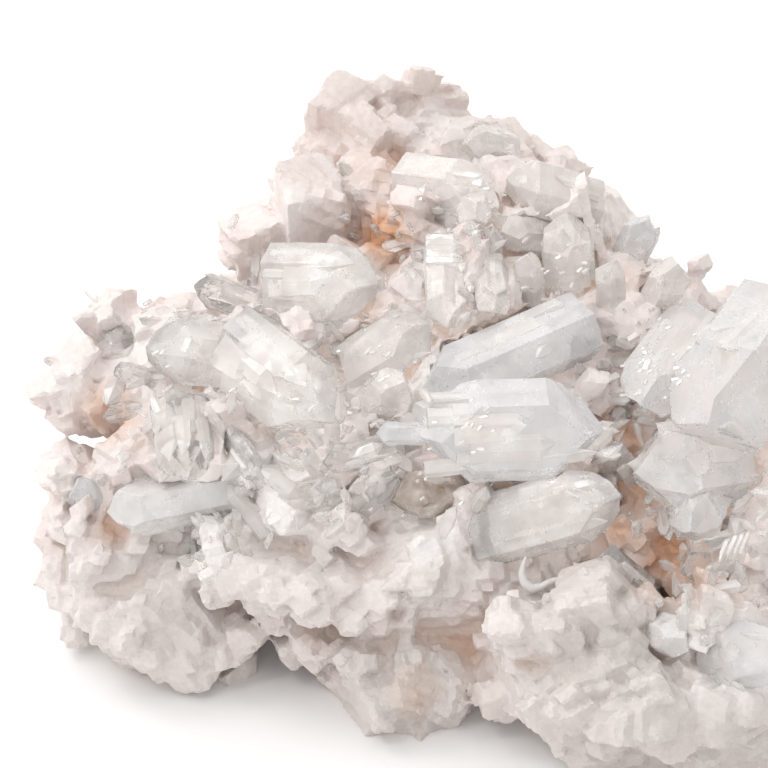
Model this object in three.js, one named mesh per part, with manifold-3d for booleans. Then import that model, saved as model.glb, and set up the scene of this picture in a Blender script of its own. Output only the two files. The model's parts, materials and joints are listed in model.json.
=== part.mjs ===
// Dolomite with quartz: a hand-sized mineral specimen. Pale pink dolomite, an aggregate of
// rhombohedral crystals, carries clear to milky quartz prisms that end in six-sided points.
// The dolomite is one solid. Each quartz crystal, or bunch of crystals grown into one another,
// is a solid of its own that sits in a socket in the dolomite.
//
// Row frame: millimetres, +Z up, the table is Z = 0, -Y is the side that the specimen shows.
import * as THREE from "three";
import { ConvexGeometry } from "three/addons/geometries/ConvexGeometry.js";
import { MeshSurfaceSampler } from "three/addons/math/MeshSurfaceSampler.js";
import { mergeVertices } from "three/addons/utils/BufferGeometryUtils.js";
import Module from "manifold-3d";

const wasm = await Module();
wasm.setup();

// ---------------------------------------------------------------------------------------------
// Driving dimensions
// ---------------------------------------------------------------------------------------------

// The specimen leans back on the table. Places are read from its display side, as
// [across to the right, up the face, out towards the eye], from the middle of that side.
const DISPLAY_TILT_DEG = 35; // the display side is seen square on from this far above the table
const DISPLAY_HEIGHT = 38; // the middle of the display side, above the table
const SOCKET_GAP = 0.3; // between a quartz crystal and the dolomite round it
const GRAZING_VOLUME = 4; // cubic millimetres: quartz crystals that share less stay apart
const WELD = 1e-3; // vertices nearer than this are one vertex
const DOLOMITE_TOLERANCE = 0.08; // smaller steps in the dolomite's surface are left out
const TABLE_SIZE = 300; // a block under the table plane, larger than the specimen

// Crystal angles in degrees, between the trigonal axis and a face's normal.
const DOLOMITE_RHOMB_ANGLE = 43.9;
const QUARTZ_POINT_ANGLE = 51.8;
const FULL_POINT_WIDTH = 4.5; // quartz crystals from this width up have all six faces on the point

const LUMP_FACES = 14; // flat facets on each lump of the dolomite mass
const HOLLOW_FACES = 10; // and on each hollow in it
const LUMP_ROUGHNESS = 0.12; // how far a facet's distance varies, as a share of the lump
const RHOMB_SPREAD_DEG = 16; // how far neighbouring rhombs turn from their lump's own grain
const RHOMB_SIZE = [0.65, 1.45]; // least and most, as shares of the lump's grain

// Least and most, as shares of a quartz crystal's half width.
const PRISM_SIDE = [0.92, 1.08]; // from the axis to a prism face
const LARGE_FACE_STANDS_BACK = [0, 0.12]; // the larger faces of a point, from the full six-sided point
const SMALL_FACE_STANDS_BACK = [0.25, 0.65]; // and the smaller ones between them

const FIRST_SEED = { lump: 101, hollow: 501, quartz: 901 }; // of each table's random numbers

// ---------------------------------------------------------------------------------------------
// The dolomite: lumps that make the mass, blocks that stand out of it, and hollows
// ---------------------------------------------------------------------------------------------

// at: the middle; half: half sizes across, up and out; turn: degrees in the plane of the display
// side, anticlockwise; grain: size of the rhombs that cover it; rhombs: how many.
const LUMPS = {
  peak_left: { at: [-2, 32.6, -26.5], half: [4.2, 6, 6.5], turn: 0, grain: 3, rhombs: 4 },
  peak_right: { at: [4.2, 33.6, -27], half: [4.6, 6.4, 7], turn: -10, grain: 3, rhombs: 4 },
  peak_saddle: { at: [10.5, 30, -27], half: [9, 6, 9], turn: -20, grain: 3.4, rhombs: 3 },
  upper_ridge: { at: [21.4, 20.8, -21], half: [14, 6.4, 11.5], turn: -33, grain: 3.4, rhombs: 4 },
  right_ridge: { at: [35, 7.6, -15], half: [11, 7.4, 10], turn: -45, grain: 3.4, rhombs: 5 },
  left_ridge: { at: [-8.2, 17.4, -23], half: [10, 5.8, 9], turn: 44, grain: 3.4, rhombs: 5 },
  heart: { at: [9, 3, -19], half: [24, 18, 16.5], turn: 0, grain: 3.4, rhombs: 2 },
  left_heart: { at: [-11, 0, -17], half: [18, 12, 13.5], turn: 8, grain: 3.4, rhombs: 2 },
  left_arm: { at: [-28, 3.4, -16], half: [10.6, 6.4, 8], turn: 0, grain: 3.4, rhombs: 5 },
  left_foot: { at: [-33, -20, -16], half: [9.8, 10, 11], turn: 0, grain: 3.4, rhombs: 7 },
  left_toe: { at: [-28.6, -29, -14.5], half: [11, 8, 10], turn: -18, grain: 3.2, rhombs: 7 },
  front_ledge: { at: [-8, -24.5, -12], half: [12, 6.4, 11], turn: -8, grain: 3.6, rhombs: 3 },
  front_lobe: { at: [3.6, -37.8, -11], half: [10.8, 8.6, 12], turn: 6, grain: 3.2, rhombs: 9 },
  belly: { at: [9, -21, -13], half: [17, 12.5, 16], turn: 0, grain: 3.6, rhombs: 4 },
  right_boulder: { at: [29, -37, -4], half: [16.5, 10, 17], turn: -4, grain: 3.6, rhombs: 3 },
  right_corner: { at: [45, -37.5, -3], half: [12, 12, 17], turn: 0, grain: 4, rhombs: 5 },
  right_flank: { at: [42, -13, -13], half: [12, 12, 13.5], turn: 0, grain: 3.6, rhombs: 4 },
  right_end: { at: [51, -18, -12], half: [10, 17, 17], turn: 0, grain: 4.2, rhombs: 4 },
  back_mass: { at: [6, 1, -34], half: [33, 19, 16], turn: 0, grain: 5, rhombs: 5 },
  back_peak: { at: [4, 22.5, -33], half: [12, 10, 10], turn: 0, grain: 4.4, rhombs: 3 },
  back_right: { at: [38, -12, -28], half: [19, 15, 15], turn: 0, grain: 5, rhombs: 3 },
  underside: { at: [5, -19, -26], half: [33, 15, 16], turn: 0, grain: 4.6, rhombs: 2 },
  seat_right: { at: [15, -8, -5], half: [13, 7, 9], turn: 0, grain: 3.4, rhombs: 0 },
  seat_middle: { at: [-5, -12, -9], half: [13, 9, 10.5], turn: 0, grain: 3.4, rhombs: 2 },
  seat_left: { at: [-21, -8, -10], half: [11, 9, 9], turn: 0, grain: 3.4, rhombs: 2 },
  seat_great: { at: [47, -1, -16], half: [12, 9, 13], turn: 0, grain: 3.6, rhombs: 0 },
};

// Single rhombs large enough to be seen by themselves. size: between opposite faces, across, up
// and out; lean: degrees about the across and up directions; turn: degrees in the display plane.
const BLOCKS = {
  ledge: { at: [-12, -23.6, -2], size: [19, 5, 9], lean: [14, -8], turn: -5 },
  ledge_step: { at: [-5.4, -26.6, -0.5], size: [8, 4.6, 7], lean: [4, 20], turn: -14 },
  ledge_end: { at: [1, -27.2, -1.5], size: [6, 4.2, 6], lean: [8, -15], turn: 18 },
  tooth_left: { at: [-17.6, -32.4, -8], size: [3.2, 5, 4], lean: [0, 15], turn: 32 },
  tooth_middle: { at: [-12.6, -32, -7], size: [3.8, 5, 4], lean: [10, 0], turn: 8 },
  tooth_right: { at: [-8, -31.6, -6], size: [3.4, 4.4, 4], lean: [0, -10], turn: 25 },
  arm_end: { at: [-38.8, -0.8, -13], size: [7.2, 4.8, 7], lean: [-18, 22], turn: 12 },
  arm_end_brown: { at: [-34.2, -3.6, -12.5], size: [4.6, 6, 6], lean: [8, -28], turn: -24 },
  arm_top: { at: [-33.6, 8.4, -14], size: [7, 4, 6], lean: [-20, 10], turn: -4 },
  foot_rhomb: { at: [-32.9, -10.2, -8.5], size: [4.4, 3.8, 5], lean: [-12, 14], turn: 26 },
  foot_slab: { at: [-38.6, -11, -11.5], size: [6, 3.4, 6], lean: [6, -10], turn: -4 },
  foot_side: { at: [-39.8, -18.6, -13], size: [6, 5.6, 7], lean: [0, 24], turn: 30 },
  foot_side_low: { at: [-39, -24.4, -14], size: [6.4, 5.4, 7], lean: [10, -18], turn: 8 },
  toe_plate: { at: [-26, -33, -8.5], size: [8.4, 6, 7], lean: [12, 10], turn: -22 },
  toe_plate_left: { at: [-33.6, -30.4, -9], size: [8, 5.4, 7], lean: [-10, -12], turn: -38 },
  ridge_rhomb: { at: [-10.2, 23.4, -20], size: [6, 5.2, 7], lean: [-10, -12], turn: 32 },
  ridge_inner: { at: [-2.2, 25.4, -19.5], size: [5.8, 4.4, 6], lean: [10, 12], turn: 8 },
  ridge_outer: { at: [-16.4, 18.4, -18.5], size: [4.4, 4.6, 6], lean: [0, 20], turn: 42 },
  crevice_rhomb: { at: [-1.6, 14, -9], size: [3, 4.6, 5], lean: [0, 25], turn: 12 },
  peak_front: { at: [-1.6, 34, -23.5], size: [6.8, 8.4, 7], lean: [-14, 16], turn: 6 },
  peak_top: { at: [4.4, 36, -25], size: [6, 6, 6], lean: [12, -20], turn: -18 },
  saddle_rhomb: { at: [11.6, 31.6, -23.5], size: [8, 5, 7], lean: [-8, 14], turn: -16 },
  boulder_left: { at: [20, -29.8, 8], size: [10, 5, 8], lean: [-14, -12], turn: -8 },
  boulder_top: { at: [29, -27, 8.5], size: [11, 4.6, 8], lean: [10, 14], turn: -16 },
  boulder_right: { at: [42.5, -29.4, 11], size: [9, 5, 8], lean: [-12, 10], turn: -6 },
  boulder_front: { at: [31, -38, 12], size: [10, 7, 8], lean: [12, -14], turn: 10 },
};

const HOLLOWS = [
  { at: [33.5, -13, -2], half: [4, 8, 8], turn: -12 },
  { at: [37.5, -22.5, 0], half: [7, 4.2, 9], turn: 12 },
  { at: [0.4, 18.4, -12], half: [2.6, 4, 8], turn: 20 },
  { at: [-33, -16.8, -6], half: [3, 2.2, 6], turn: -30 },
  { at: [24, 1.4, 2], half: [3.6, 2.2, 6], turn: 0 },
  { at: [-34.5, -6.8, -10], half: [3.4, 2, 9], turn: -10 },
  { at: [-13.6, -36.2, -10], half: [4.4, 3.2, 9], turn: 0 },
  { at: [17.5, -44.6, -5], half: [3.4, 3, 9], turn: 0 },
];

// ---------------------------------------------------------------------------------------------
// The quartz: root, tip and width of each crystal
// ---------------------------------------------------------------------------------------------

// flat: width across one pair of prism faces as a share of the others; roll: degrees about the
// crystal's axis; twoTips: the root end has a point too.
const QUARTZ = {
  quartz_broad_left: { root: [-14, 12.6, -9], tip: [-0.8, 12.4, -2], width: 9.4, roll: 12, flat: 0.7 },
  quartz_rim_point: { root: [-16, 9.8, -13], tip: [-24.2, 12.6, -10], width: 4, roll: 20 },
  quartz_left_point: { root: [-28, 4.1, -11], tip: [-37, 4.9, -9], width: 3.4, roll: 0 },
  quartz_ribbed: { root: [-19, 3.4, -8], tip: [-29.6, 4.6, -1], width: 8.4, roll: 25, flat: 0.8 },
  quartz_lilac: { root: [-18.6, 4.8, -5.4], tip: [-6.4, -4.6, 4], width: 10.6, roll: 0, flat: 0.75 },
  quartz_stub: { root: [-25.8, -3.2, -4], tip: [-24.4, -11.8, 3.4], width: 7.2, roll: 10 },
  quartz_sliver_a: { root: [-28, -2.2, -8], tip: [-35.6, -4.2, -4.4], width: 2.2, roll: 0 },
  quartz_sliver_b: { root: [-29, 0.4, -8], tip: [-34, 2, -4.5], width: 2.4, roll: 30 },
  quartz_long_left: { root: [-18, -13, -5.6], tip: [-34.8, -16.2, -3.6], width: 6.6, roll: 8 },
  quartz_low_left: { root: [-35, -14, -11], tip: [-39.6, -13.8, -5], width: 4.2, roll: 25 },
  quartz_main: {
    root: [4.4, -6.2, 7.6],
    tip: [27, -5.6, 6.2],
    width: 11,
    roll: 15,
    flat: 0.8,
    twoTips: true,
  },
  quartz_main_spur: { root: [6.6, -6, 6.4], tip: [-1, -6.1, 7], width: 2.6, roll: 0 },
  quartz_long_right: { root: [12, -18.6, -1], tip: [29, -13.8, 6.4], width: 8, roll: 20 },
  quartz_window: { root: [32.5, -26, 1], tip: [26.6, -21, 8], width: 4.2, roll: 10, flat: 0.7 },
  quartz_right_point: { root: [46.6, -19.6, 0], tip: [36.4, -23, 8], width: 5, roll: 15 },
  quartz_grey: { root: [43, -9.4, -3], tip: [31.2, -10.8, 7], width: 10.6, roll: 10, flat: 0.85 },
  quartz_grey_low: { root: [40.6, -13.6, -2], tip: [37.6, -18, 8], width: 6.2, roll: 30 },
  quartz_great: { root: [49, 6, -9], tip: [39.4, -4.4, 15.5], width: 15, roll: 20, flat: 0.8 },
  quartz_great_side: { root: [39.5, 7, -5], tip: [31.6, -2.4, 7.4], width: 8, roll: 0 },
  quartz_upright: { root: [7.4, 18, -6], tip: [7.8, 7.2, 2.6], width: 4.6, roll: 0 },
  quartz_drop: { root: [13.4, 15, -4.6], tip: [13.6, 9, 4], width: 4, roll: 20 },
  quartz_upper_broad: { root: [3, 24.6, -16], tip: [14.6, 22.6, -8], width: 9.6, roll: 10, flat: 0.7 },
  quartz_upper_eye: { root: [11.4, 23, -10], tip: [11.4, 20.8, -4.6], width: 4, roll: 25 },
  quartz_ridge_round: { root: [16, 31, -22], tip: [10.8, 31.2, -15], width: 4.6, roll: 0 },
  quartz_ridge_slab: { root: [27, 23, -14], tip: [15.6, 26, -8], width: 7, roll: 15, flat: 0.75 },
  quartz_block: { root: [20, 19, -11], tip: [15, 19.2, -4.4], width: 4.2, roll: 30 },
  quartz_columns_a: { root: [23.6, 13.4, -10], tip: [23, 21.6, -6], width: 7, roll: 0, flat: 0.8 },
  quartz_columns_b: { root: [28.8, 9.4, -8], tip: [28.2, 15.2, -1.8], width: 3.6, roll: 0 },
  quartz_columns_c: { root: [18.6, 11, -7], tip: [18, 16.2, -1.6], width: 3.6, roll: 15 },
  quartz_ridge_blue: { root: [31.6, 16.4, -14], tip: [33.8, 21, -8.4], width: 4.4, roll: 10 },
  quartz_ridge_brown: { root: [35, 10.4, -9], tip: [37, 15, -2.4], width: 5, roll: 30 },
  quartz_cracked_a: { root: [-3.6, 2, -4], tip: [5.4, 7.4, 2.6], width: 7, roll: 5, flat: 0.8 },
  quartz_cracked_b: { root: [-1.8, -2.4, -3], tip: [2.4, 0.2, 5.4], width: 5.2, roll: 20 },
  quartz_diagonal: { root: [25, 7.4, -5], tip: [4.6, -1.4, 5], width: 8, roll: 8 },
  quartz_brown: { root: [8.6, -13, -1], tip: [1.4, -14, 6], width: 5.2, roll: 20 },
  quartz_sheaf_a: { root: [2.6, -7.4, -1], tip: [-7.6, -9.8, 5], width: 3.2, roll: 0, flat: 0.6 },
  quartz_sheaf_b: { root: [-6, -17.4, -3], tip: [1.4, -11, 5], width: 3.8, roll: 15 },
  quartz_sheaf_c: { root: [-13.2, -14.8, -3], tip: [-5.6, -13.2, 5.4], width: 3.8, roll: 20 },
  quartz_wing: { root: [-19.4, -6.8, -3], tip: [-15.6, -11.4, 3.4], width: 3.4, roll: 0, flat: 0.6 },
  quartz_hidden_b: { root: [26, -9.6, -4], tip: [30.4, -8.6, 2], width: 3.4, roll: 20 },
  quartz_low_right: { root: [41, -31.4, 9], tip: [46.4, -34.4, 18.5], width: 8.6, roll: 10, flat: 0.85 },
  quartz_low_right_b: { root: [33.4, -30.4, 8], tip: [36.2, -30.6, 16], width: 4.4, roll: 0 },
  quartz_end_high: { root: [55, 1, -10], tip: [59.5, 4, 2], width: 7.2, roll: 0 },
  quartz_end_mid: { root: [56, -11, -4], tip: [64, -9, 5.5], width: 6.6, roll: 15 },
  quartz_end_low: { root: [55, -26, -4], tip: [62.5, -24, 7], width: 7, roll: 25 },
  quartz_back_high: { root: [22, 17, -30], tip: [24, 27, -34], width: 6, roll: 0 },
  quartz_back_right: { root: [44, 0, -32], tip: [51, 9, -36], width: 6.4, roll: 20 },
};

// ---------------------------------------------------------------------------------------------
// Solids bounded by flat faces
// ---------------------------------------------------------------------------------------------

const vector = (xyz) => new THREE.Vector3(...xyz);

// Each crystal and each lump draws its own random numbers from its own seed.
function randomFrom(seed) {
  let state = seed >>> 0;
  return () => {
    state = (state + 0x6d2b79f5) >>> 0;
    let t = Math.imul(state ^ (state >>> 15), 1 | state);
    t = (t + Math.imul(t ^ (t >>> 7), 61 | t)) ^ t;
    return ((t ^ (t >>> 14)) >>> 0) / 4294967296;
  };
}

const between = ([least, most], random) => least + (most - least) * random();

// A face with the given outward normal, at a distance from the origin.
const face = (normal, distance) => new THREE.Plane(normal.clone().normalize(), -distance);

// A unit normal at an angle from the +Z axis and an azimuth round it, both in degrees.
function normalAt(fromAxisDeg, azimuthDeg) {
  const polar = THREE.MathUtils.degToRad(fromAxisDeg);
  const azimuth = THREE.MathUtils.degToRad(azimuthDeg);
  return new THREE.Vector3(
    Math.sin(polar) * Math.cos(azimuth),
    Math.sin(polar) * Math.sin(azimuth),
    Math.cos(polar),
  );
}

// The point where three planes meet, or null where they don't.
function meetingPoint(a, b, c) {
  const bc = new THREE.Vector3().crossVectors(b.normal, c.normal);
  const ca = new THREE.Vector3().crossVectors(c.normal, a.normal);
  const ab = new THREE.Vector3().crossVectors(a.normal, b.normal);
  const determinant = a.normal.dot(bc);
  if (Math.abs(determinant) < 1e-6) return null;
  return bc
    .multiplyScalar(-a.constant)
    .addScaledVector(ca, -b.constant)
    .addScaledVector(ab, -c.constant)
    .divideScalar(determinant);
}

// The convex solid inside all the faces: its corners are the points where three faces meet and
// that no other face cuts off.
function solidInside(faces) {
  const corners = [];
  for (let i = 0; i < faces.length; i++)
    for (let j = i + 1; j < faces.length; j++)
      for (let k = j + 1; k < faces.length; k++) {
        const p = meetingPoint(faces[i], faces[j], faces[k]);
        if (!p || faces.some((f) => f.distanceToPoint(p) > WELD)) continue;
        if (corners.every((q) => q.distanceTo(p) > 10 * WELD)) corners.push(p);
      }
  return new ConvexGeometry(corners);
}

// ---------------------------------------------------------------------------------------------
// Between three.js and manifold-3d
// ---------------------------------------------------------------------------------------------

function manifoldOf(geometry, matrix = new THREE.Matrix4()) {
  const placed = geometry.clone().applyMatrix4(matrix);
  placed.deleteAttribute("normal");
  placed.deleteAttribute("uv");
  const merged = mergeVertices(placed, WELD);
  const mesh = new wasm.Mesh({
    numProp: 3,
    vertProperties: merged.attributes.position.array,
    triVerts: new Uint32Array(merged.index.array),
  });
  return new wasm.Manifold(mesh);
}

function geometryOf(manifold) {
  const { numProp, numVert, vertProperties, triVerts } = manifold.getMesh();
  const positions = new Float32Array(numVert * 3);
  for (let v = 0; v < numVert; v++)
    positions.set(vertProperties.subarray(v * numProp, v * numProp + 3), v * 3);
  const indexed = new THREE.BufferGeometry()
    .setAttribute("position", new THREE.BufferAttribute(positions, 3))
    .setIndex(new THREE.BufferAttribute(triVerts, 1));
  const flat = indexed.toNonIndexed();
  flat.computeVertexNormals();
  return flat;
}

const largestPiece = (manifold) =>
  manifold.decompose().reduce((a, b) => (b.volume() > a.volume() ? b : a));

// ---------------------------------------------------------------------------------------------
// Dolomite
// ---------------------------------------------------------------------------------------------

// Faces of a rough lump: directions spread evenly over a sphere, each at its own distance from
// the middle of an ellipsoid with these half sizes.
function lumpFaces(half, count, random) {
  const golden = Math.PI * (3 - Math.sqrt(5));
  return Array.from({ length: count }, (_, i) => {
    const z = 1 - (2 * i + 1) / count;
    const ring = Math.sqrt(1 - z * z);
    const normal = new THREE.Vector3(Math.cos(i * golden) * ring, Math.sin(i * golden) * ring, z);
    const reach = normal.clone().multiply(vector(half)).length();
    return face(normal, reach * (1 + LUMP_ROUGHNESS * (random() - 0.5)));
  });
}

const upAxis = new THREE.Vector3(0, 0, 1);

// The cleavage rhombohedron: three pairs of faces about a trigonal axis. It is turned so that the
// pair apart by out lies square to local Z, and the edges that the sizes up and out leave between
// them run along local X.
function rhombGeometry([across, up, out]) {
  const [outNormal, acrossNormal, upNormal] = [0, 120, 240].map((k) => normalAt(DOLOMITE_RHOMB_ANGLE, k));
  const faces = [
    [outNormal, out],
    [acrossNormal, across],
    [upNormal, up],
  ].flatMap(([normal, apart]) => [face(normal, apart / 2), face(normal.clone().negate(), apart / 2)]);
  const edge = new THREE.Vector3().crossVectors(upNormal, outNormal).normalize();
  const third = new THREE.Vector3().crossVectors(outNormal, edge);
  const crystalFrame = new THREE.Matrix4().makeBasis(edge, third, outNormal);
  return solidInside(faces).applyMatrix4(crystalFrame.invert());
}

function blockMatrix(block) {
  const [leanAcross, leanUp, turn] = [...block.lean, block.turn].map(THREE.MathUtils.degToRad);
  return new THREE.Matrix4()
    .makeRotationFromEuler(new THREE.Euler(leanAcross, leanUp, turn, "ZXY"))
    .setPosition(...block.at);
}

const turned = (lump) =>
  new THREE.Matrix4()
    .makeRotationZ(THREE.MathUtils.degToRad(lump.turn))
    .setPosition(...lump.at);

// A lump knows its solid, where it stands, and whether a point lies inside it.
function makeLump(lump, faceCount, seed) {
  const random = randomFrom(seed);
  const faces = lumpFaces(lump.half, faceCount, random);
  const matrix = turned(lump);
  const inverse = matrix.clone().invert();
  const geometry = solidInside(faces).applyMatrix4(matrix);
  const holds = (point) => {
    const local = point.clone().applyMatrix4(inverse);
    return faces.every((f) => f.distanceToPoint(local) < 0);
  };
  return { ...lump, random, geometry, holds };
}

// Rhombs that grow on one lump share its grain and turn only a little from it.
function rhombsOn(lump, allLumps) {
  const { random } = lump;
  const grain = new THREE.Quaternion(...[0, 1, 2, 3].map(() => random() - 0.5)).normalize();
  const sampler = new MeshSurfaceSampler(new THREE.Mesh(lump.geometry));
  sampler.setRandomGenerator(random).build();
  const made = [];
  const spread = THREE.MathUtils.degToRad(RHOMB_SPREAD_DEG);
  for (let n = 0; n < lump.rhombs; n++) {
    const at = new THREE.Vector3();
    sampler.sample(at);
    const size = [0, 1, 2].map(() => lump.grain * between(RHOMB_SIZE, random));
    const wobble = new THREE.Euler(...[0, 1, 2].map(() => spread * (random() - 0.5) * 2));
    if (allLumps.some((other) => other !== lump && other.holds(at))) continue;
    const turn = grain.clone().multiply(new THREE.Quaternion().setFromEuler(wobble));
    const matrix = new THREE.Matrix4().compose(at, turn, new THREE.Vector3(1, 1, 1));
    made.push(manifoldOf(rhombGeometry(size), matrix));
  }
  return made;
}

function makeDolomite(sockets, tableBlock) {
  const lumps = Object.values(LUMPS).map((lump, i) => makeLump(lump, LUMP_FACES, FIRST_SEED.lump + i));
  const mass = lumps.map((lump) => manifoldOf(lump.geometry));
  const rhombs = lumps.flatMap((lump) => rhombsOn(lump, lumps));
  const blocks = Object.values(BLOCKS).map((b) => manifoldOf(rhombGeometry(b.size), blockMatrix(b)));
  const hollows = HOLLOWS.map((hollow, i) =>
    manifoldOf(makeLump(hollow, HOLLOW_FACES, FIRST_SEED.hollow + i).geometry),
  );
  const whole = wasm.Manifold.union([...mass, ...rhombs, ...blocks])
    .subtract(wasm.Manifold.union(hollows))
    .subtract(sockets)
    .subtract(tableBlock);
  return largestPiece(whole.simplify(DOLOMITE_TOLERANCE));
}

// ---------------------------------------------------------------------------------------------
// Quartz
// ---------------------------------------------------------------------------------------------

// A hexagonal prism along local +Z from its root to its point. The six faces of the point slope
// alike, but every other one stands back and is smaller, as in real quartz. Slender crystals have
// only the three large ones.
function quartzFaces(crystal, length, random, growth) {
  const radius = crystal.width / 2;
  const slope = Math.cos(THREE.MathUtils.degToRad(QUARTZ_POINT_ANGLE));
  const faces = [];
  for (let k = 0; k < 6; k++) {
    const flatness = k % 3 === 0 ? (crystal.flat ?? 1) : 1;
    const side = radius * flatness * between(PRISM_SIDE, random);
    faces.push(face(normalAt(90, k * 60), side + growth));
    const standBack = radius * between(k % 2 ? SMALL_FACE_STANDS_BACK : LARGE_FACE_STANDS_BACK, random);
    if (k % 2 && crystal.width < FULL_POINT_WIDTH) continue;
    faces.push(face(normalAt(QUARTZ_POINT_ANGLE, k * 60), (length + standBack) * slope + growth));
    if (crystal.twoTips)
      faces.push(face(normalAt(180 - QUARTZ_POINT_ANGLE, k * 60), standBack * slope + growth));
  }
  if (!crystal.twoTips) faces.push(face(new THREE.Vector3(0, 0, -1), growth));
  return faces;
}

// From local +Z to the direction of root to tip, after a roll about that axis.
function crystalMatrix(at, axis, rollDeg) {
  const lean = new THREE.Quaternion().setFromUnitVectors(upAxis, axis.clone().normalize());
  const roll = new THREE.Quaternion().setFromAxisAngle(upAxis, THREE.MathUtils.degToRad(rollDeg));
  return new THREE.Matrix4().compose(at, lean.multiply(roll), new THREE.Vector3(1, 1, 1));
}

// growth thickens the crystal all round, which gives its socket.
function makeQuartz(crystal, seed, growth = 0) {
  const root = vector(crystal.root);
  const axis = vector(crystal.tip).sub(root);
  const faces = quartzFaces(crystal, axis.length(), randomFrom(seed), growth);
  return manifoldOf(solidInside(faces), crystalMatrix(root, axis, crystal.roll));
}

// Crystals that overlap grew together and are one solid, named after the first of them. A crystal
// that would only graze another stopped growing there, and ends just short of it.
function growTogether(crystals) {
  const bunches = [];
  for (const crystal of crystals) {
    const shared = (bunch) => bunch.solid.intersect(crystal.solid).volume();
    const grownInto = bunches.filter((b) => shared(b) > GRAZING_VOLUME);
    const grazed = bunches.filter((b) => !grownInto.includes(b));
    const solids = [crystal, ...grownInto].map((b) => b.solid);
    const sockets = [crystal, ...grownInto].map((b) => b.socket);
    const cleared = wasm.Manifold.union(solids).subtract(wasm.Manifold.union(grazed.map((b) => b.socket)));
    const name = grownInto[0]?.name ?? crystal.name;
    bunches.length = 0;
    bunches.push(...grazed, { name, solid: largestPiece(cleared), socket: wasm.Manifold.union(sockets) });
  }
  return bunches;
}

// ---------------------------------------------------------------------------------------------
// The specimen
// ---------------------------------------------------------------------------------------------

const displaySide = new THREE.Group();
displaySide.rotation.x = Math.PI / 2 - THREE.MathUtils.degToRad(DISPLAY_TILT_DEG);
displaySide.position.z = DISPLAY_HEIGHT;
displaySide.updateMatrix();

const underTable = new THREE.BoxGeometry(TABLE_SIZE, TABLE_SIZE, TABLE_SIZE).translate(0, 0, -TABLE_SIZE / 2);
const tableBlock = manifoldOf(underTable, displaySide.matrix.clone().invert());

const crystals = Object.entries(QUARTZ).map(([name, crystal], i) => ({
  name,
  solid: makeQuartz(crystal, FIRST_SEED.quartz + i),
  socket: makeQuartz(crystal, FIRST_SEED.quartz + i, SOCKET_GAP),
}));
const sockets = wasm.Manifold.union(crystals.map((c) => c.socket));

const dolomiteMaterial = new THREE.MeshStandardMaterial({
  color: 0xe9d9d0,
  roughness: 0.75,
  metalness: 0,
  flatShading: true,
});
const quartzMaterial = new THREE.MeshStandardMaterial({
  color: 0xe4e4e6,
  roughness: 0.12,
  metalness: 0,
  transparent: true,
  opacity: 0.6,
  flatShading: true,
});

function addMesh(name, solid, material) {
  const mesh = new THREE.Mesh(geometryOf(solid), material);
  mesh.name = name;
  displaySide.add(mesh);
}

addMesh("dolomite", makeDolomite(sockets, tableBlock), dolomiteMaterial);
for (const bunch of growTogether(crystals)) addMesh(bunch.name, bunch.solid, quartzMaterial);

const specimen = new THREE.Group();
specimen.name = "dolomite_with_quartz";
specimen.add(displaySide);

export default specimen;
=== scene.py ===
# %% [markdown]
# # Dolomite with quartz
# A hand-sized mineral specimen: pale pink dolomite that carries clear and milky quartz points.
# The CAD model gives the main lumps and the large crystals. This lesson dresses them. The
# dolomite gets a skin of rhombs with growth steps, and the large quartz gets worn edges and
# ribs. Side crystals, a field of small points, faces that flash and a white lip are added, and
# each finish is made from nodes.
# Everything is worked out in millimetres and put into the meshes in metres.

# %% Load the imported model
import json
import math

import bmesh
import bpy
import numpy as np
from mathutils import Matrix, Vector

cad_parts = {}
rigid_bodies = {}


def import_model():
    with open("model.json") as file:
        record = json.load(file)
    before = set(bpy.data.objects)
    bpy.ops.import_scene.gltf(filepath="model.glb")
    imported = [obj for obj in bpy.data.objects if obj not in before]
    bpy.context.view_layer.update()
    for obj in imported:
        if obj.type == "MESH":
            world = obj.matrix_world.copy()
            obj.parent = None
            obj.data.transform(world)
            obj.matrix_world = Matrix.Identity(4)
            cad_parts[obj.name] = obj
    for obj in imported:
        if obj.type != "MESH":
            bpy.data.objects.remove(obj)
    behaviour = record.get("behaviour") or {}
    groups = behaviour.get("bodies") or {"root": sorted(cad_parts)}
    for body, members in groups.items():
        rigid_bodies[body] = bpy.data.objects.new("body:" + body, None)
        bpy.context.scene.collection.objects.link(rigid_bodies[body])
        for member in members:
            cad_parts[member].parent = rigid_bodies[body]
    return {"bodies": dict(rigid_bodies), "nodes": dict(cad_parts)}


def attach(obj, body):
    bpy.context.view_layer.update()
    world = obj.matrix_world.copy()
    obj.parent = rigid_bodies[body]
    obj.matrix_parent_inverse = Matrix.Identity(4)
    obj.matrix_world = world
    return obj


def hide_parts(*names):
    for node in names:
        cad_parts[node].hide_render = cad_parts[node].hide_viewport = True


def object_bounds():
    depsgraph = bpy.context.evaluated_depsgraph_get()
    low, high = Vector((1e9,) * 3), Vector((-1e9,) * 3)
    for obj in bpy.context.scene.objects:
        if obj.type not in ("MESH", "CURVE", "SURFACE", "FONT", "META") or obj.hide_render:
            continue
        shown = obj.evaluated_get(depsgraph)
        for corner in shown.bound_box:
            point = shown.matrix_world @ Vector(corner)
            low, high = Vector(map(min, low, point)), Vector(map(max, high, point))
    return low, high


for leftover in list(bpy.data.objects):
    bpy.data.objects.remove(leftover)
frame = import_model()
cad_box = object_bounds()
MM = 0.001
print("CAD nodes:", len(frame["nodes"]))

# %% [markdown]
# ## Two frames
# The specimen leans back on the table, so its display side looks up at an angle. Places are
# easier to give on that side: across, up, and out towards the eye. Three rows of unit vectors
# turn such places into the row frame, and the same rows turn them back.

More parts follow.
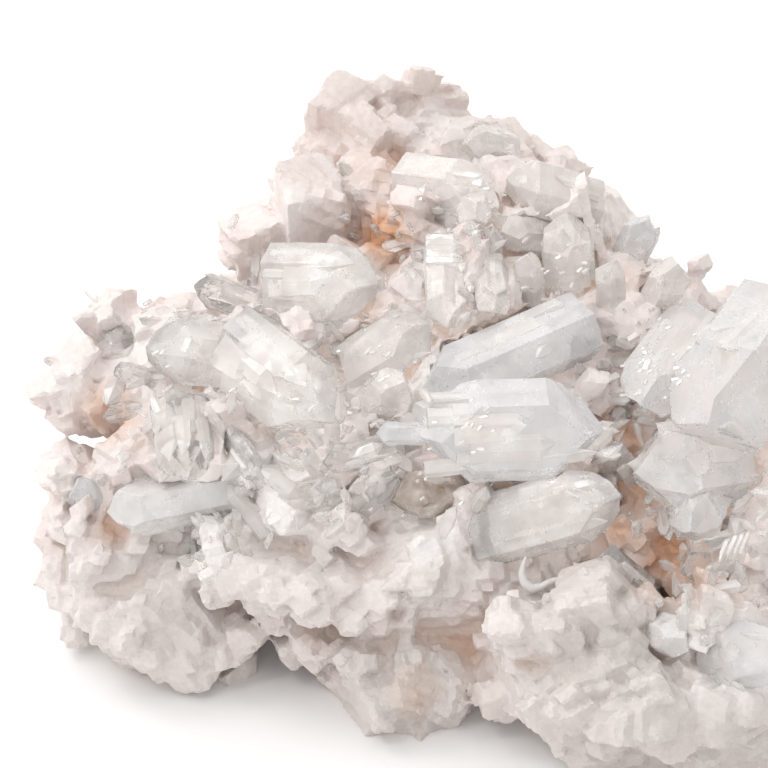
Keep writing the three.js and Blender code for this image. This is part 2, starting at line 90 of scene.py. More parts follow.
# %% The display side's own frame
DISPLAY_TILT = math.radians(35)
DISPLAY_MIDDLE = np.array([0.0, 0.0, 38.0])
ACROSS_UP_OUT = np.array([
    [1.0, 0.0, 0.0],
    [0.0, math.sin(DISPLAY_TILT), math.cos(DISPLAY_TILT)],
    [0.0, -math.cos(DISPLAY_TILT), math.sin(DISPLAY_TILT)],
])
OUT = ACROSS_UP_OUT[2]


def from_display(places):
    """Row-frame points: the middle of the display side plus each place times the three rows."""
    return DISPLAY_MIDDLE + np.asarray(places, float) @ ACROSS_UP_OUT


def to_display(points):
    """Across, up and out of row-frame points."""
    return (np.asarray(points, float) - DISPLAY_MIDDLE) @ ACROSS_UP_OUT.T


print("out towards the eye:", OUT.round(3))

# %% [markdown]
# ## Camera, light and floor
# A long lens looks square on to the display side. Light that comes evenly from everywhere would
# make clear crystals vanish, because all that they bend is equally bright. So the sky of this
# light tent is a little darker low down, to the right and on the eye's side. Two soft lamps
# stand above, and the small one is what the flashing faces mirror. The floor is a plain
# near-white sheet.

# %% Camera
EYE_DISTANCE = 440.0
LIGHT_BOUNCES = {"max_bounces": 11, "transmission_bounces": 11, "diffuse_bounces": 4, "glossy_bounces": 1}
camera_data = bpy.data.cameras.new("studio_camera")
camera_data.sensor_width = 36.0
camera_data.lens = 165.0
camera_data.clip_end = 10.0
camera = bpy.data.objects.new("studio_camera", camera_data)
camera.location = Vector((DISPLAY_MIDDLE + EYE_DISTANCE * OUT) * MM)
camera.rotation_euler = Vector(-OUT).to_track_quat("-Z", "Y").to_euler()
bpy.context.scene.collection.objects.link(camera)
bpy.context.scene.camera = camera
bpy.context.scene.view_settings.view_transform = "Standard"
for setting, number in LIGHT_BOUNCES.items():
    setattr(bpy.context.scene.cycles, setting, number)
print("camera at", [round(c, 3) for c in camera.location])


# %% Sky: a helper that places a node, and the tent's brightness
def add_node(tree, kind, settings=None, **inputs):
    """A node with its settings; each input is a number, a colour or another node's output.

    An input is given by its name, with _ for a space, or as _0, _1 and so on by its number."""
    made = tree.nodes.new("ShaderNode" + kind)
    for key, value in (settings or {}).items():
        setattr(made, key, value)
    for key, value in inputs.items():
        socket = made.inputs[int(key[1:])] if key[0] == "_" else made.inputs[key.replace("_", " ")]
        if isinstance(value, bpy.types.NodeSocket):
            tree.links.new(value, socket)
        else:
            socket.default_value = value
    return made


# For each axis: the coordinate where its change starts, and the light there and at 1
SKY_STRENGTH = 1.165
SKY_COLOUR = (1.0, 0.99, 0.98)
SKY_CHANGES = {"Z": (0.0, 0.8, 1.12), "Y": (-1.0, 0.66, 1.1), "X": (-1.0, 1.24, 0.8)}
sky = bpy.data.worlds.new("light_tent")
bpy.context.scene.world = sky
sky.use_nodes = True
sky_tree = sky.node_tree
way = add_node(sky_tree, "TexCoord").outputs["Generated"]
ways = add_node(sky_tree, "SeparateXYZ", None, _0=way).outputs
light = 1.0
for axis, (start, first, last) in SKY_CHANGES.items():
    ends = {"From_Min": start, "To_Min": first, "To_Max": last}
    change = add_node(sky_tree, "MapRange", None, Value=ways[axis], **ends)
    light = add_node(sky_tree, "Math", {"operation": "MULTIPLY"}, _0=light, _1=change.outputs[0]).outputs[0]
sky_light = add_node(sky_tree, "VectorMath", {"operation": "SCALE"}, _0=SKY_COLOUR, Scale=light).outputs[0]
background = sky_tree.nodes["Background"]
sky_tree.links.new(sky_light, background.inputs["Color"])
background.inputs["Strength"].default_value = SKY_STRENGTH
print("sky nodes:", len(sky_tree.nodes))


# %% Lamps
def lamp(name, place, aim, size, power):
    """A square soft lamp at a place, turned to its aim; both in metres."""
    data = bpy.data.lights.new(name, "AREA")
    data.size = size
    data.energy = power
    made = bpy.data.objects.new(name, data)
    made.location = place
    made.rotation_euler = (Vector(aim) - Vector(place)).to_track_quat("-Z", "Y").to_euler()
    bpy.context.scene.collection.objects.link(made)


OVERHEAD_LAMP = (-0.55, 0.25, 0.7)
SPARK_LAMP = (-0.35, -0.35, 0.8)
lamp("overhead_lamp", OVERHEAD_LAMP, aim=(0, 0, 0), size=0.35, power=1.5)
lamp("spark_lamp", SPARK_LAMP, aim=(0, 0, 0.03), size=0.07, power=0.6)

# %% Floor
FLOOR_HALF = 3.0
floor_data = bpy.data.meshes.new("floor")
floor_corners = np.array([(-1, -1, 0), (1, -1, 0), (1, 1, 0), (-1, 1, 0)]) * FLOOR_HALF
floor_data.from_pydata(floor_corners, [], [(0, 1, 2, 3)])
floor = bpy.data.objects.new("floor", floor_data)
bpy.context.scene.collection.objects.link(floor)
print("floor", floor.dimensions[:])

# %% [markdown]
# ## Meshes from arrays
# All the grown pieces are arrays of corners and faces. They could be built face by face, but
# whole arrays are put into a mesh at once and are a thousand times quicker. One helper reads a
# property of a mesh into an array, and another makes a mesh from corners and faces.

# %% From arrays to a mesh and back
def read(things, what, each=1, kind=np.float32):
    """One property of all a mesh's corners, faces or loops, with so many numbers for each."""
    values = np.empty(len(things) * each, kind)
    things.foreach_get(what, values)
    return values.reshape(-1, each) if each > 1 else values


def mesh_piece(name, corners, faces, smooth=False):
    """One object at the origin from corners in millimetres and faces with equally many sides."""
    data = bpy.data.meshes.new(name)
    count, sides = faces.shape
    data.vertices.add(len(corners))
    data.vertices.foreach_set("co", (corners * MM).astype(np.float32).ravel())
    data.loops.add(count * sides)
    data.loops.foreach_set("vertex_index", faces.astype(np.int32).ravel())
    data.polygons.add(count)
    data.polygons.foreach_set("loop_start", np.arange(count, dtype=np.int32) * sides)
    data.polygons.foreach_set("use_smooth", np.full(count, smooth))
    data.update(calc_edges=True)
    made = bpy.data.objects.new(name, data)
    bpy.context.scene.collection.objects.link(made)
    return made


def corners_of(data):
    """Corner places of a mesh, in millimetres."""
    return read(data.vertices, "co", 3).astype(float) / MM


def triangles_of(obj):
    """The mesh's triangles as three corner numbers each."""
    obj.data.calc_loop_triangles()
    return read(obj.data.loop_triangles, "vertices", 3, np.int32)


def size_of(obj):
    """Its name and triangle count, for the printed record of each step."""
    return obj.name, len(triangles_of(obj))


CAD_DOLOMITE = frame["nodes"]["dolomite"]
CAD_QUARTZ = {name: o for name, o in frame["nodes"].items() if name.startswith("quartz_")}
print("dolomite triangles:", len(triangles_of(CAD_DOLOMITE)), "quartz nodes:", len(CAD_QUARTZ))

# %% [markdown]
# ## Random places on a surface
# Crystals start anywhere on a surface, so each triangle is drawn as often as its area asks. The
# triangles are first brought into a fixed order, so that the same places come out even when the
# CAD file lists them in another order.

# %% Places on a surface
def in_fixed_order(soup):
    """The same triangles, each from its corner of least x, in the order of their middles' x."""
    first = soup[:, :, 0].argmin(1)
    rolled = soup[np.arange(len(soup))[:, None], (first[:, None] + np.arange(3)) % 3]
    return rolled[np.argsort(rolled[:, :, 0].mean(1))]


def places_on(obj, count, rng):
    """Random places on triangles, drawn by area, with the triangles' normals.

    A place is a corner + a x one side + b x the other, with a + b folded back below 1."""
    soup = in_fixed_order(corners_of(obj.data)[triangles_of(obj)])
    crossed = np.cross(soup[:, 1] - soup[:, 0], soup[:, 2] - soup[:, 0])
    area = np.linalg.norm(crossed, axis=1)
    chosen = rng.choice(len(soup), count, p=area / area.sum())
    a, b = rng.random((2, count, 1))
    fold = (a + b) > 1
    a, b = np.where(fold, 1 - a, a), np.where(fold, 1 - b, b)
    corner = soup[chosen]
    spot = corner[:, 0] + a * (corner[:, 1] - corner[:, 0]) + b * (corner[:, 2] - corner[:, 0])
    return spot, crossed[chosen] / area[chosen, None]


print("a place on the dolomite:", places_on(CAD_DOLOMITE, 1, np.random.default_rng(1))[0].round(1))

# %% [markdown]
# ## Where is there stone?
# In a sheltered crevice the stone is painted warmer and browner, a painted glow of the light
# that scatters and bounces there; on a free ridge it is paler; and a rhomb may not grow inside a
# quartz crystal. Rays could test each point, but there are many thousands of them. So each solid
# is filled into a grid of 1 mm cells once: along each upright column the surface is crossed an
# odd number of times below a cell inside it. A blurred grid then tells how much stone surrounds
# any point.

# %% Fill a grid with a solid
CELL = 1.0
GRID_MARGIN = 10
OFF_CORNERS = np.array([1.3e-4, 2.1e-4])
UPRIGHT_AREA = 1e-12
stone_lo = np.array(cad_box[0]) / MM - GRID_MARGIN
stone_hi = np.array(cad_box[1]) / MM + GRID_MARGIN
GRID_SHAPE = tuple(np.ceil((stone_hi - stone_lo) / CELL).astype(int))


def filled(objects):
    """1 inside the closed solids and 0 outside: per cell, the parity of the crossings below it.

    Each column runs a little off its cell's middle, so that it meets no corner of the surface."""
    soup = np.concatenate([corners_of(o.data)[triangles_of(o)] for o in objects])
    soup = (soup - stone_lo) / CELL
    low = np.ceil(soup[:, :, :2].min(1) - 0.5).astype(int)
    high = np.floor(soup[:, :, :2].max(1) - 0.5).astype(int)
    spans = np.maximum(high - low + 1, 0)
    counts = spans[:, 0] * spans[:, 1]
    which = np.repeat(np.arange(len(soup)), counts)
    order = np.arange(counts.sum()) - np.repeat(np.cumsum(counts) - counts, counts)
    column = low[which] + np.stack([order % spans[which, 0], order // spans[which, 0]], 1)
    a, b, c = soup[which, 0], soup[which, 1], soup[which, 2]
    middle = column + 0.5 + OFF_CORNERS
    ab, ac, am = b[:, :2] - a[:, :2], c[:, :2] - a[:, :2], middle - a[:, :2]
    area = ab[:, 0] * ac[:, 1] - ab[:, 1] * ac[:, 0]
    area = np.where(np.abs(area) < UPRIGHT_AREA, UPRIGHT_AREA, area)
    s = (am[:, 0] * ac[:, 1] - am[:, 1] * ac[:, 0]) / area
    t = (ab[:, 0] * am[:, 1] - ab[:, 1] * am[:, 0]) / area
    hit = (s >= 0) & (t >= 0) & (s + t <= 1)
    height = a[:, 2] + s * (b[:, 2] - a[:, 2]) + t * (c[:, 2] - a[:, 2])
    cell_above = np.clip(np.ceil(height - 0.5).astype(int), 0, GRID_SHAPE[2] - 1)
    crossings = np.zeros(GRID_SHAPE, np.int32)
    np.add.at(crossings, (column[hit, 0], column[hit, 1], cell_above[hit]), 1)
    return (np.cumsum(crossings, 2) % 2).astype(np.float32)


dolomite_cells = filled([CAD_DOLOMITE])
quartz_cells = filled(CAD_QUARTZ.values())
for solid, cells in (("dolomite", dolomite_cells), ("quartz", quartz_cells)):
    print(solid, "cells of 1 mm3:", int(cells.sum()))


# %% Blur the grid and read it anywhere
def blurred(grid, reach):
    """The mean over a box of 2 reach + 1 cells, taken twice along each axis."""
    width = 2 * reach + 1
    for axis in (0, 1, 2, 0, 1, 2):
        pads = [(0, 0)] * 3
        pads[axis] = (reach + 1, reach)
        total = np.cumsum(np.pad(grid, pads, mode="edge"), axis, dtype=np.float64)
        ahead = np.take(total, range(width, total.shape[axis]), axis)
        behind = np.take(total, range(0, total.shape[axis] - width), axis)
        grid = ((ahead - behind) / width).astype(np.float32)
    return grid


def between(table, base, share):
    """A three-way table read between its numbers, a share of the way from base to the next one.

    Each of the 8 numbers about a place counts by the product of its nearness on the three axes."""
    value = 0.0
    for corner in np.ndindex(2, 2, 2):
        weight = np.prod(np.where(corner, share, 1 - share), axis=1)
        value = value + weight * table[tuple(((base + corner) % table.shape).T)]
    return value


def look_up(grid, points):
    """The grid's value at points in the row frame, read between the cells' middles."""
    place = (points - stone_lo) / CELL - 0.5
    base = np.clip(np.floor(place).astype(int), 0, np.array(GRID_SHAPE) - 2)
    return between(grid, base, np.clip(place - base, 0, 1))


SHELTER = blurred(np.maximum(dolomite_cells, quartz_cells), reach=3)
NEAR_QUARTZ = blurred(quartz_cells, reach=1)
print("shelter under the middle:", look_up(SHELTER, from_display([(0, 0, -9)])).round(2))

# %% [markdown]
# ## Smooth randomness
# Patches of stone differ in grain size, tint and crystal direction, and they change smoothly.
# Random numbers for each point would only give speckles. Value noise changes smoothly: it has a
# random number at each corner of a coarse lattice, blended between.

# %% Value noise
LATTICE = 64


def noise(points, scale, seed):
    """From 0 to 1: random lattice numbers, scale millimetres apart, blended with a smooth step."""
    table = np.random.default_rng(seed).random((LATTICE, LATTICE, LATTICE))
    place = points / scale + LATTICE // 2
    base = np.floor(place).astype(int)
    share = place - base
    return between(table, base, share * share * (3 - 2 * share))


print("noise at three places:", noise(np.eye(3), 2.0, seed=1).round(2))


# %% Random turns
def unit(vectors):
    """Each vector at length 1."""
    return vectors / np.linalg.norm(vectors, axis=1, keepdims=True)


def rotations(count, rng):
    """Evenly spread rotation matrices, from unit quaternions of four normal numbers each."""
    w, x, y, z = unit(rng.normal(size=(count, 4))).T
    rows = [
        [1 - 2 * (y * y + z * z), 2 * (x * y - z * w), 2 * (x * z + y * w)],
        [2 * (x * y + z * w), 1 - 2 * (x * x + z * z), 2 * (y * z - x * w)],
        [2 * (x * z - y * w), 2 * (y * z + x * w), 1 - 2 * (x * x + y * y)],
    ]
    return np.array(rows).transpose(2, 0, 1)


def wobbles(count, degrees, rng):
    """Small rotations about random axes: Rodrigues' formula with normally spread angles."""
    axis = unit(rng.normal(size=(count, 3)))
    angle = np.radians(np.reshape(degrees, (-1, 1, 1))) * rng.normal(size=(count, 1, 1))
    cross = np.zeros((count, 3, 3))
    cross[:, 0, 1], cross[:, 0, 2], cross[:, 1, 2] = -axis[:, 2], axis[:, 1], -axis[:, 0]
    cross[:, 1, 0], cross[:, 2, 0], cross[:, 2, 1] = axis[:, 2], -axis[:, 1], axis[:, 0]
    return np.eye(3) + np.sin(angle) * cross + (1 - np.cos(angle)) * cross @ cross


def turned(turns, vectors):
    """Each vector turned by its own matrix."""
    return np.einsum("nij,nj->ni", turns, vectors)


print("a small turn:", wobbles(1, 5, np.random.default_rng(1))[0].round(2).tolist())

# %% [markdown]
# ## The rhomb and the grain
# Dolomite breaks and grows in rhombohedra: six faces in three parallel pairs, whose normals
# stand 43.9 degrees off one axis. One table of the three normals serves the whole specimen.
# Neighbouring rhombs lie alike, so the stone is shared out among patches, each with its own
# turn and grain size. A point belongs to the nearest patch middle, and noise first warps the
# places, so that the patches' borders aren't flat.

# %% The cleavage rhomb
RHOMB_ANGLE = math.radians(43.9)
RHOMB_NORMALS = np.array([
    [math.sin(RHOMB_ANGLE) * math.cos(a), math.sin(RHOMB_ANGLE) * math.sin(a), math.cos(RHOMB_ANGLE)]
    for a in (0, 2 * math.pi / 3, 4 * math.pi / 3)
])
RHOMB_EDGES = np.linalg.inv(RHOMB_NORMALS).T
between_faces = math.degrees(math.acos(RHOMB_NORMALS[0] @ RHOMB_NORMALS[1]))
print("angle between rhomb faces:", round(between_faces, 1))

# %% Grain patches
GRAIN_PATCHES = 150
PATCH_WARP = 5.0
PATCH_BATCH = 20000
PATCH_GRAINS = (0.8, 1.25)
patch_rng = np.random.default_rng(12)
patch_middles, _ = places_on(CAD_DOLOMITE, GRAIN_PATCHES, patch_rng)
patch_turns = rotations(GRAIN_PATCHES, patch_rng)
patch_grain = patch_rng.uniform(*PATCH_GRAINS, GRAIN_PATCHES)


def noise_vectors(points, scale, seeds):
    """Three noises from -0.5 to 0.5 as the parts of a vector."""
    return np.stack([noise(points, scale, seed) for seed in seeds], 1) - 0.5


def patch_of(points):
    """The number of the grain patch each point lies in: the nearest middle, after a warp."""
    warped = points + PATCH_WARP * noise_vectors(points, PATCH_WARP, (21, 22, 23))
    nearest = np.empty(len(points), int)
    for start in range(0, len(points), PATCH_BATCH):
        part = warped[start:start + PATCH_BATCH, None] - patch_middles
        nearest[start:start + PATCH_BATCH] = (part ** 2).sum(2).argmin(1)
    return nearest


print("patches:", GRAIN_PATCHES, "of the first three middles:", patch_of(patch_middles[:3]))

# %% [markdown]
# ## Rhombs as arrays
# Thousands of rhombs differ only in place, turn and size. Copies of an object would each need
# their own place in the scene. So one template in lattice numbers from -0.5 to 0.5 is stretched
# along the three lattice edges for all of them at once. Each edge and face has a middle corner,
# which bends the faces of large rhombs into the shallow saddles that dolomite is known for.

# %% Templates of a rhomb
SADDLE_BEND = 0.05


def rhomb_template(divisions):
    """Lattice numbers and quads of a block whose faces have divisions x divisions quads.

    In a divided block each lattice number grows by 4 x bend x (the next one's square - the
    square of the one before)."""
    steps = np.linspace(-0.5, 0.5, divisions + 1)
    places = []
    for axis in range(3):
        for side in (-0.5, 0.5):
            for i, j in np.ndindex(divisions, divisions):
                square = [(i, j), (i + 1, j), (i + 1, j + 1), (i, j + 1)]
                if (side < 0) == (np.linalg.det(RHOMB_EDGES) > 0):
                    square = square[::-1]
                for a, b in square:
                    place = [0.0, 0.0, 0.0]
                    place[axis] = side
                    place[(axis + 1) % 3] = steps[a]
                    place[(axis + 2) % 3] = steps[b]
                    places.append(place)
    corners, numbers = np.unique(np.round(places, 6), axis=0, return_inverse=True)
    squares = corners ** 2
    saddle = np.roll(squares, -1, 1) - np.roll(squares, 1, 1)
    return corners + 4 * SADDLE_BEND * (divisions > 1) * saddle, numbers.reshape(-1, 4)


BLOCKY = rhomb_template(1)
CURVED = rhomb_template(2)


def grown_rhombs(template, middles, sizes, turns):
    """Corners and triangles: middle + turn x (lattice number x size) along the lattice edges."""
    lattice, quads = template
    local = (lattice[None] * sizes[:, None]) @ RHOMB_EDGES
    corners = middles[:, None] + np.einsum("nij,nvj->nvi", turns, local)
    faces = (quads[None] + len(lattice) * np.arange(len(middles))[:, None, None]).reshape(-1, 4)
    return corners.reshape(-1, 3), np.concatenate([faces[:, [0, 1, 2]], faces[:, [0, 2, 3]]])


print("rhomb corners:", len(BLOCKY[0]), "saddle rhomb corners:", len(CURVED[0]))

# %% [markdown]
# ## Where the rhombs grow
# Places are drawn at random over the dolomite. They stay out of the quartz, off the face that
# rests on the table, and out of four undercuts, where the foot is hollowed. The grain is coarse
# on the ridges and the lower right, and fine and sugary on the lower left. A map could be
# painted for that, but a few soft zones on the display side say it in numbers. Each zone has a
# middle, a reach and a value, and a bell curve about its middle fades it out.

# %% Grain size: middle across and up, reach in millimetres, grain
GRAIN = 2.4
GRAIN_ZONES = [
    ((-30, -25), 9, 1.7),
    ((-8, -25), 8, 2.4),
    ((3, -38), 8, 1.7),
    ((-36, -14), 6, 2.4),
    ((-8, 18), 8, 3.6),
    ((2, 34), 8, 2.7),
    ((-37, 3), 6, 2.6),
    ((30, -35), 12, 2.8),
]
ZONE_WEIGHT = 6
ZONE_SPREAD = 0.6


def grain_at(points):
    """Grain size: the common one and each zone's, weighted by a bell curve about its middle."""
    across_up = to_display(points)[:, :2]
    total, weight = GRAIN * np.ones(len(points)), np.ones(len(points))
    for middle, reach, grain in GRAIN_ZONES:
        away = ((across_up - middle) ** 2).sum(1)
        bell = ZONE_WEIGHT * np.exp(-away / (2 * (ZONE_SPREAD * reach) ** 2))
        total += bell * grain
        weight += bell
    return total / weight


print("grain in the zones:", grain_at(from_display([(*z[0], 0) for z in GRAIN_ZONES])).round(1))

# %% Undercuts: middle across, up and out, reach, depth
UNDERCUTS = [
    ((17.6, -42.6, 7.0), 4.2, 2.2),
    ((17.8, -43.4, -1.0), 4.2, 1.4),
    ((-14.0, -36.0, -8.0), 4.2, 1.6),
    ((20.6, -22.9, 0.8), 2.0, 1.8),
]


def strongest(points, zones, squeeze=(1, 1, 1)):
    """The largest of the zones' bell curves: strength x e to the power -(distance / reach) squared.

    A middle of two numbers counts at any depth; squeeze shrinks the distance along each axis."""
    display = to_display(points)
    curves = []
    for middle, reach, strength in zones:
        away = (display[:, :len(middle)] - middle) * squeeze[:len(middle)]
        curves.append(strength * np.exp(-(away ** 2).sum(1) / reach ** 2))
    return np.max(curves, axis=0)


print("undercut at its middle:", strongest(from_display([UNDERCUTS[0][0]]), UNDERCUTS))

# %% Growth places
GROWTH_PLACES = 9500
LOOK_AHEAD = 1.0
QUARTZ_NEAR = 0.15
ABOVE_TABLE = 1.2
HOLLOWED = 0.6
growth_rng = np.random.default_rng(11)
spots, outward = places_on(CAD_DOLOMITE, GROWTH_PLACES, growth_rng)
free = look_up(NEAR_QUARTZ, spots + LOOK_AHEAD * outward) < QUARTZ_NEAR
free &= (spots[:, 2] > ABOVE_TABLE) & (strongest(spots, UNDERCUTS) < HOLLOWED)
spots, outward = spots[free], outward[free]
print("growth places:", len(spots))

# %% [markdown]
# ## Rhombs, steps, filled hollows and boulders
# Each place carries a curved rhomb, turned as its patch is with a small wobble, and three
# smaller blocks that stand out of it as growth steps. Near the peak and on the right ridge the
# rhombs are smaller. Two lists add what chance doesn't give: bunches of rhombs that close the
# floors of the hollows, and the few rhombs large enough to be picked out one by one.

# %% Curved rhombs and the steps on them
SUNK = 0.6
SUNK_MORE = 0.7
PEAK_FOOT = 35.0
RIDGE_START = (30, 11)
PEAK_SHARE = 0.65
GRAIN_SPREAD, GRAIN_LIMITS = 0.3, (0.5, 1.35)
RHOMB_SIDES, STEP_SIDES = (0.7, 1.2), (0.22, 0.5)
RHOMB_WOBBLE, STEP_WOBBLE = 7, 2.0
STEPS_EACH = 3
grain = grain_at(spots) * growth_rng.lognormal(0, GRAIN_SPREAD, len(spots)).clip(*GRAIN_LIMITS)
base_turns = wobbles(len(spots), RHOMB_WOBBLE, growth_rng) @ patch_turns[patch_of(spots)]
base_sizes = grain[:, None] * growth_rng.uniform(*RHOMB_SIDES, (len(spots), 3))
across, up, _ = to_display(spots).T
base_sizes[(up > PEAK_FOOT) | ((across > RIDGE_START[0]) & (up > RIDGE_START[1]))] *= PEAK_SHARE
base_middles = spots - outward * (SUNK * grain + SUNK_MORE)[:, None]

owner = np.repeat(np.arange(len(spots)), STEPS_EACH)
lattice_place = growth_rng.uniform(-0.5, 0.5, (len(owner), 3))
step_local = (lattice_place * base_sizes[owner]) @ RHOMB_EDGES
step_middles = base_middles[owner] + turned(base_turns[owner], step_local)
step_turns = wobbles(len(owner), STEP_WOBBLE, growth_rng) @ base_turns[owner]
step_sizes = base_sizes[owner] * growth_rng.uniform(*STEP_SIDES, (len(owner), 3))
grown = [
    grown_rhombs(CURVED, base_middles, base_sizes, base_turns),
    grown_rhombs(BLOCKY, step_middles, step_sizes, step_turns),
]
print("rhombs:", len(spots), "steps:", len(owner))

# %% Floors of the hollows: middle across, up and out, and reach
CAVITY_FLOORS = [
    ((0.4, 18.4, -13.5), 2.6),
    ((1.9, 17.0, -11.5), 2.4),
    ((30.4, -7.0, -8.0), 3.4),
    ((31.0, -13.0, -7.0), 3.6),
    ((30.0, -19.0, -4.0), 4.0),
    ((34.5, -21.5, -4.5), 4.4),
    ((39.0, -22.5, -4.0), 4.4),
    ((36.0, -16.0, -8.0), 4.0),
    ((-21.0, -18.8, -4.0), 3.0),
    ((-32.6, -18.6, -8.0), 3.0),
    ((-28.0, 0.2, -8.0), 3.0),
    ((-31.6, -9.8, -6.6), 3.4),
    ((27.0, -1.0, -5.0), 3.0),
    ((-36.3, -2.0, -9.6), 2.6),
    ((28.5, -31.0, -1.5), 3.4),
    ((30.5, -33.5, 0.0), 3.4),
    ((-15.5, -17.0, -5.5), 3.0),
    ((-12.5, -16.0, -4.5), 3.0),
    ((-9.5, -17.0, -2.5), 3.0),
    ((-6.0, -20.0, -1.0), 2.6),
    ((-4.2, -17.6, 0.0), 3.0),
    ((-14.6, -13.4, -4.0), 2.6),
    ((-2.0, -14.0, -0.5), 2.6),
    ((24.0, 8.6, -7.0), 2.6),
]
FLOOR_RHOMBS = 14
FLOOR_SPREAD = 0.45
FLOOR_SIDES = (0.5, 1.0)
FLOOR_WOBBLE = 12
floor_middle = from_display([place for place, _ in CAVITY_FLOORS])
floor_reach = np.array([reach for _, reach in CAVITY_FLOORS])
floor_of = np.repeat(np.arange(len(CAVITY_FLOORS)), FLOOR_RHOMBS)
floor_spread = growth_rng.normal(size=(len(floor_of), 3)) * FLOOR_SPREAD * floor_reach[floor_of, None]
floor_spots = floor_middle[floor_of] + floor_spread
floor_sizes = floor_reach[floor_of, None] * growth_rng.uniform(*FLOOR_SIDES, (len(floor_of), 3))
floor_turns = wobbles(len(floor_of), FLOOR_WOBBLE, growth_rng) @ patch_turns[patch_of(floor_spots)]
grown_floors = grown_rhombs(CURVED, floor_spots, floor_sizes, floor_turns)
print("rhombs on the floors:", len(floor_spots))

# %% Boulders: middle across, up and out, and size
BOULDERS = [
    (-32.0, -9.8, -6.4, 5.6),
    (-9.4, 22.8, -13.4, 8.0),
    (-1.6, 24.2, -17.0, 6.0),
    (-16.2, 19.4, -15.6, 6.0),
    (-5.6, 36.0, -22.0, 6.0),
    (0.8, 36.4, -27.0, 7.0),
    (-36.4, -2.6, -10.6, 5.0),
    (-38.6, 2.4, -10.8, 5.0),
    (-36.0, -12.4, -9.0, 5.0),
]
BOULDER_WOBBLE = 8
boulder_place, boulder_size = np.split(np.array(BOULDERS), (3,), axis=1)
boulder_spots = from_display(boulder_place)
boulder_turns = wobbles(len(BOULDERS), BOULDER_WOBBLE, growth_rng) @ patch_turns[patch_of(boulder_spots)]
grown_boulders = grown_rhombs(CURVED, boulder_spots, boulder_size * np.ones(3), boulder_turns)
print("boulders:", len(BOULDERS))

# %% [markdown]
# ## The dolomite's skin
# In the stone the rhombs have grown into one another: there are no seams inside. Thousands of
# boolean joins would be slow and fragile. So the CAD dolomite and all the rhombs are melted into
# one surface with a voxel remesh. Its corners are then drawn towards the planes of their
# patch's rhomb lattice, which makes fine stairs whose treads and risers follow the crystal, and
# a light smoothing wears the edges.

# %% Helpers: draw in the solid, and melt parts into one surface
WELD_REACH = 2e-6
TABLE_BAND = 0.5


def welded_copy(obj):
    """The object's mesh with the corners of its loose triangles merged, ready to be edited."""
    welded = bmesh.new()
    welded.from_mesh(obj.data)
    bmesh.ops.remove_doubles(welded, verts=welded.verts, dist=WELD_REACH)
    return welded


def drawn_in(obj, depth):
    """Welded corners of an object, each moved inwards along its normal, and its triangles.

    The resting face stays on the table, and the undercuts are drawn in by their depth more."""
    welded = welded_copy(obj)
    bmesh.ops.triangulate(welded, faces=welded.faces)
    places = np.array([v.co[:] for v in welded.verts]) / MM
    normals = np.array([v.normal[:] for v in welded.verts])
    triangles = np.array([[v.index for v in f.verts] for f in welded.faces])
    welded.free()
    inward = places - (depth + strongest(places, UNDERCUTS))[:, None] * normals
    inward[:, 2] = np.where(places[:, 2] < TABLE_BAND, places[:, 2], inward[:, 2])
    return inward, triangles


def finished_mesh(obj):
    """A new mesh of the object as its modifiers leave it."""
    return bpy.data.meshes.new_from_object(obj.evaluated_get(bpy.context.evaluated_depsgraph_get()))


def fused(parts, voxel):
    """One even surface round all the closed parts, as corners and quads."""
    corners = np.concatenate([corners for corners, _ in parts])
    shifts = np.cumsum([0] + [len(corners) for corners, _ in parts[:-1]])
    faces = np.concatenate([triangles + shift for (_, triangles), shift in zip(parts, shifts)])
    rough = mesh_piece("rough", corners, faces)
    remesh = rough.modifiers.new("even_quads", "REMESH")
    remesh.mode = "VOXEL"
    remesh.voxel_size = voxel * MM
    even = finished_mesh(rough)
    bpy.data.objects.remove(rough)
    surface = corners_of(even), read(even.loops, "vertex_index", kind=np.int32).reshape(-1, 4)
    bpy.data.meshes.remove(even)
    return surface


SKIN_VOXEL = 0.46
ROOM_FOR_RHOMBS = 1.3
melted = [drawn_in(CAD_DOLOMITE, ROOM_FOR_RHOMBS), grown_floors, grown_boulders, *grown]
skin_points, skin_quads = fused(melted, SKIN_VOXEL)
print("melted triangles:", 2 * len(skin_quads))

# %% Step, smooth and thin it
STEP_SIZE = 1.25
STEP_SHARPNESS = 3.0
STEP_SHARE = 0.85
WEAR_ROUNDS = 2
WEAR_SHARE = 0.4
SKIN_TRIANGLES = 192000
EDGE_ANGLE = math.radians(14)


def stepped(points, step):
    """Each point moves towards the nearest plane of its patch's lattice, along all three normals.

    A coordinate t between planes becomes round(t) + half the sign times |2 (t - round(t))| to
    the power of the sharpness, so that most of a cell lies near its plane."""
    patch = patch_of(points)
    normals = np.einsum("ni,pji->pnj", RHOMB_NORMALS, patch_turns)[patch]
    size = (step * patch_grain[patch])[:, None]
    t = np.einsum("pnj,pj->pn", normals, points) / size
    whole = np.round(t)
    part = t - whole
    drawn = 0.5 * np.sign(part) * np.abs(2 * part) ** STEP_SHARPNESS
    push = (whole + drawn - t) * size
    edges = np.einsum("ni,pji->pnj", RHOMB_EDGES, patch_turns)[patch]
    return points + STEP_SHARE * np.einsum("pn,pnj->pj", push, edges)


def smoothed(points, quads, rounds, share):
    """Each corner moves a share of the way to the mean of its neighbours, round after round."""
    start, end = quads.ravel(), np.roll(quads, -1, 1).ravel()
    count = len(points)
    number = np.bincount(start, minlength=count) + np.bincount(end, minlength=count)
    for _ in range(rounds):
        total = [
            np.bincount(start, axis[end], count) + np.bincount(end, axis[start], count) for axis in points.T
        ]
        points = points + share * (np.stack(total, 1) / number[:, None] - points)
    return points


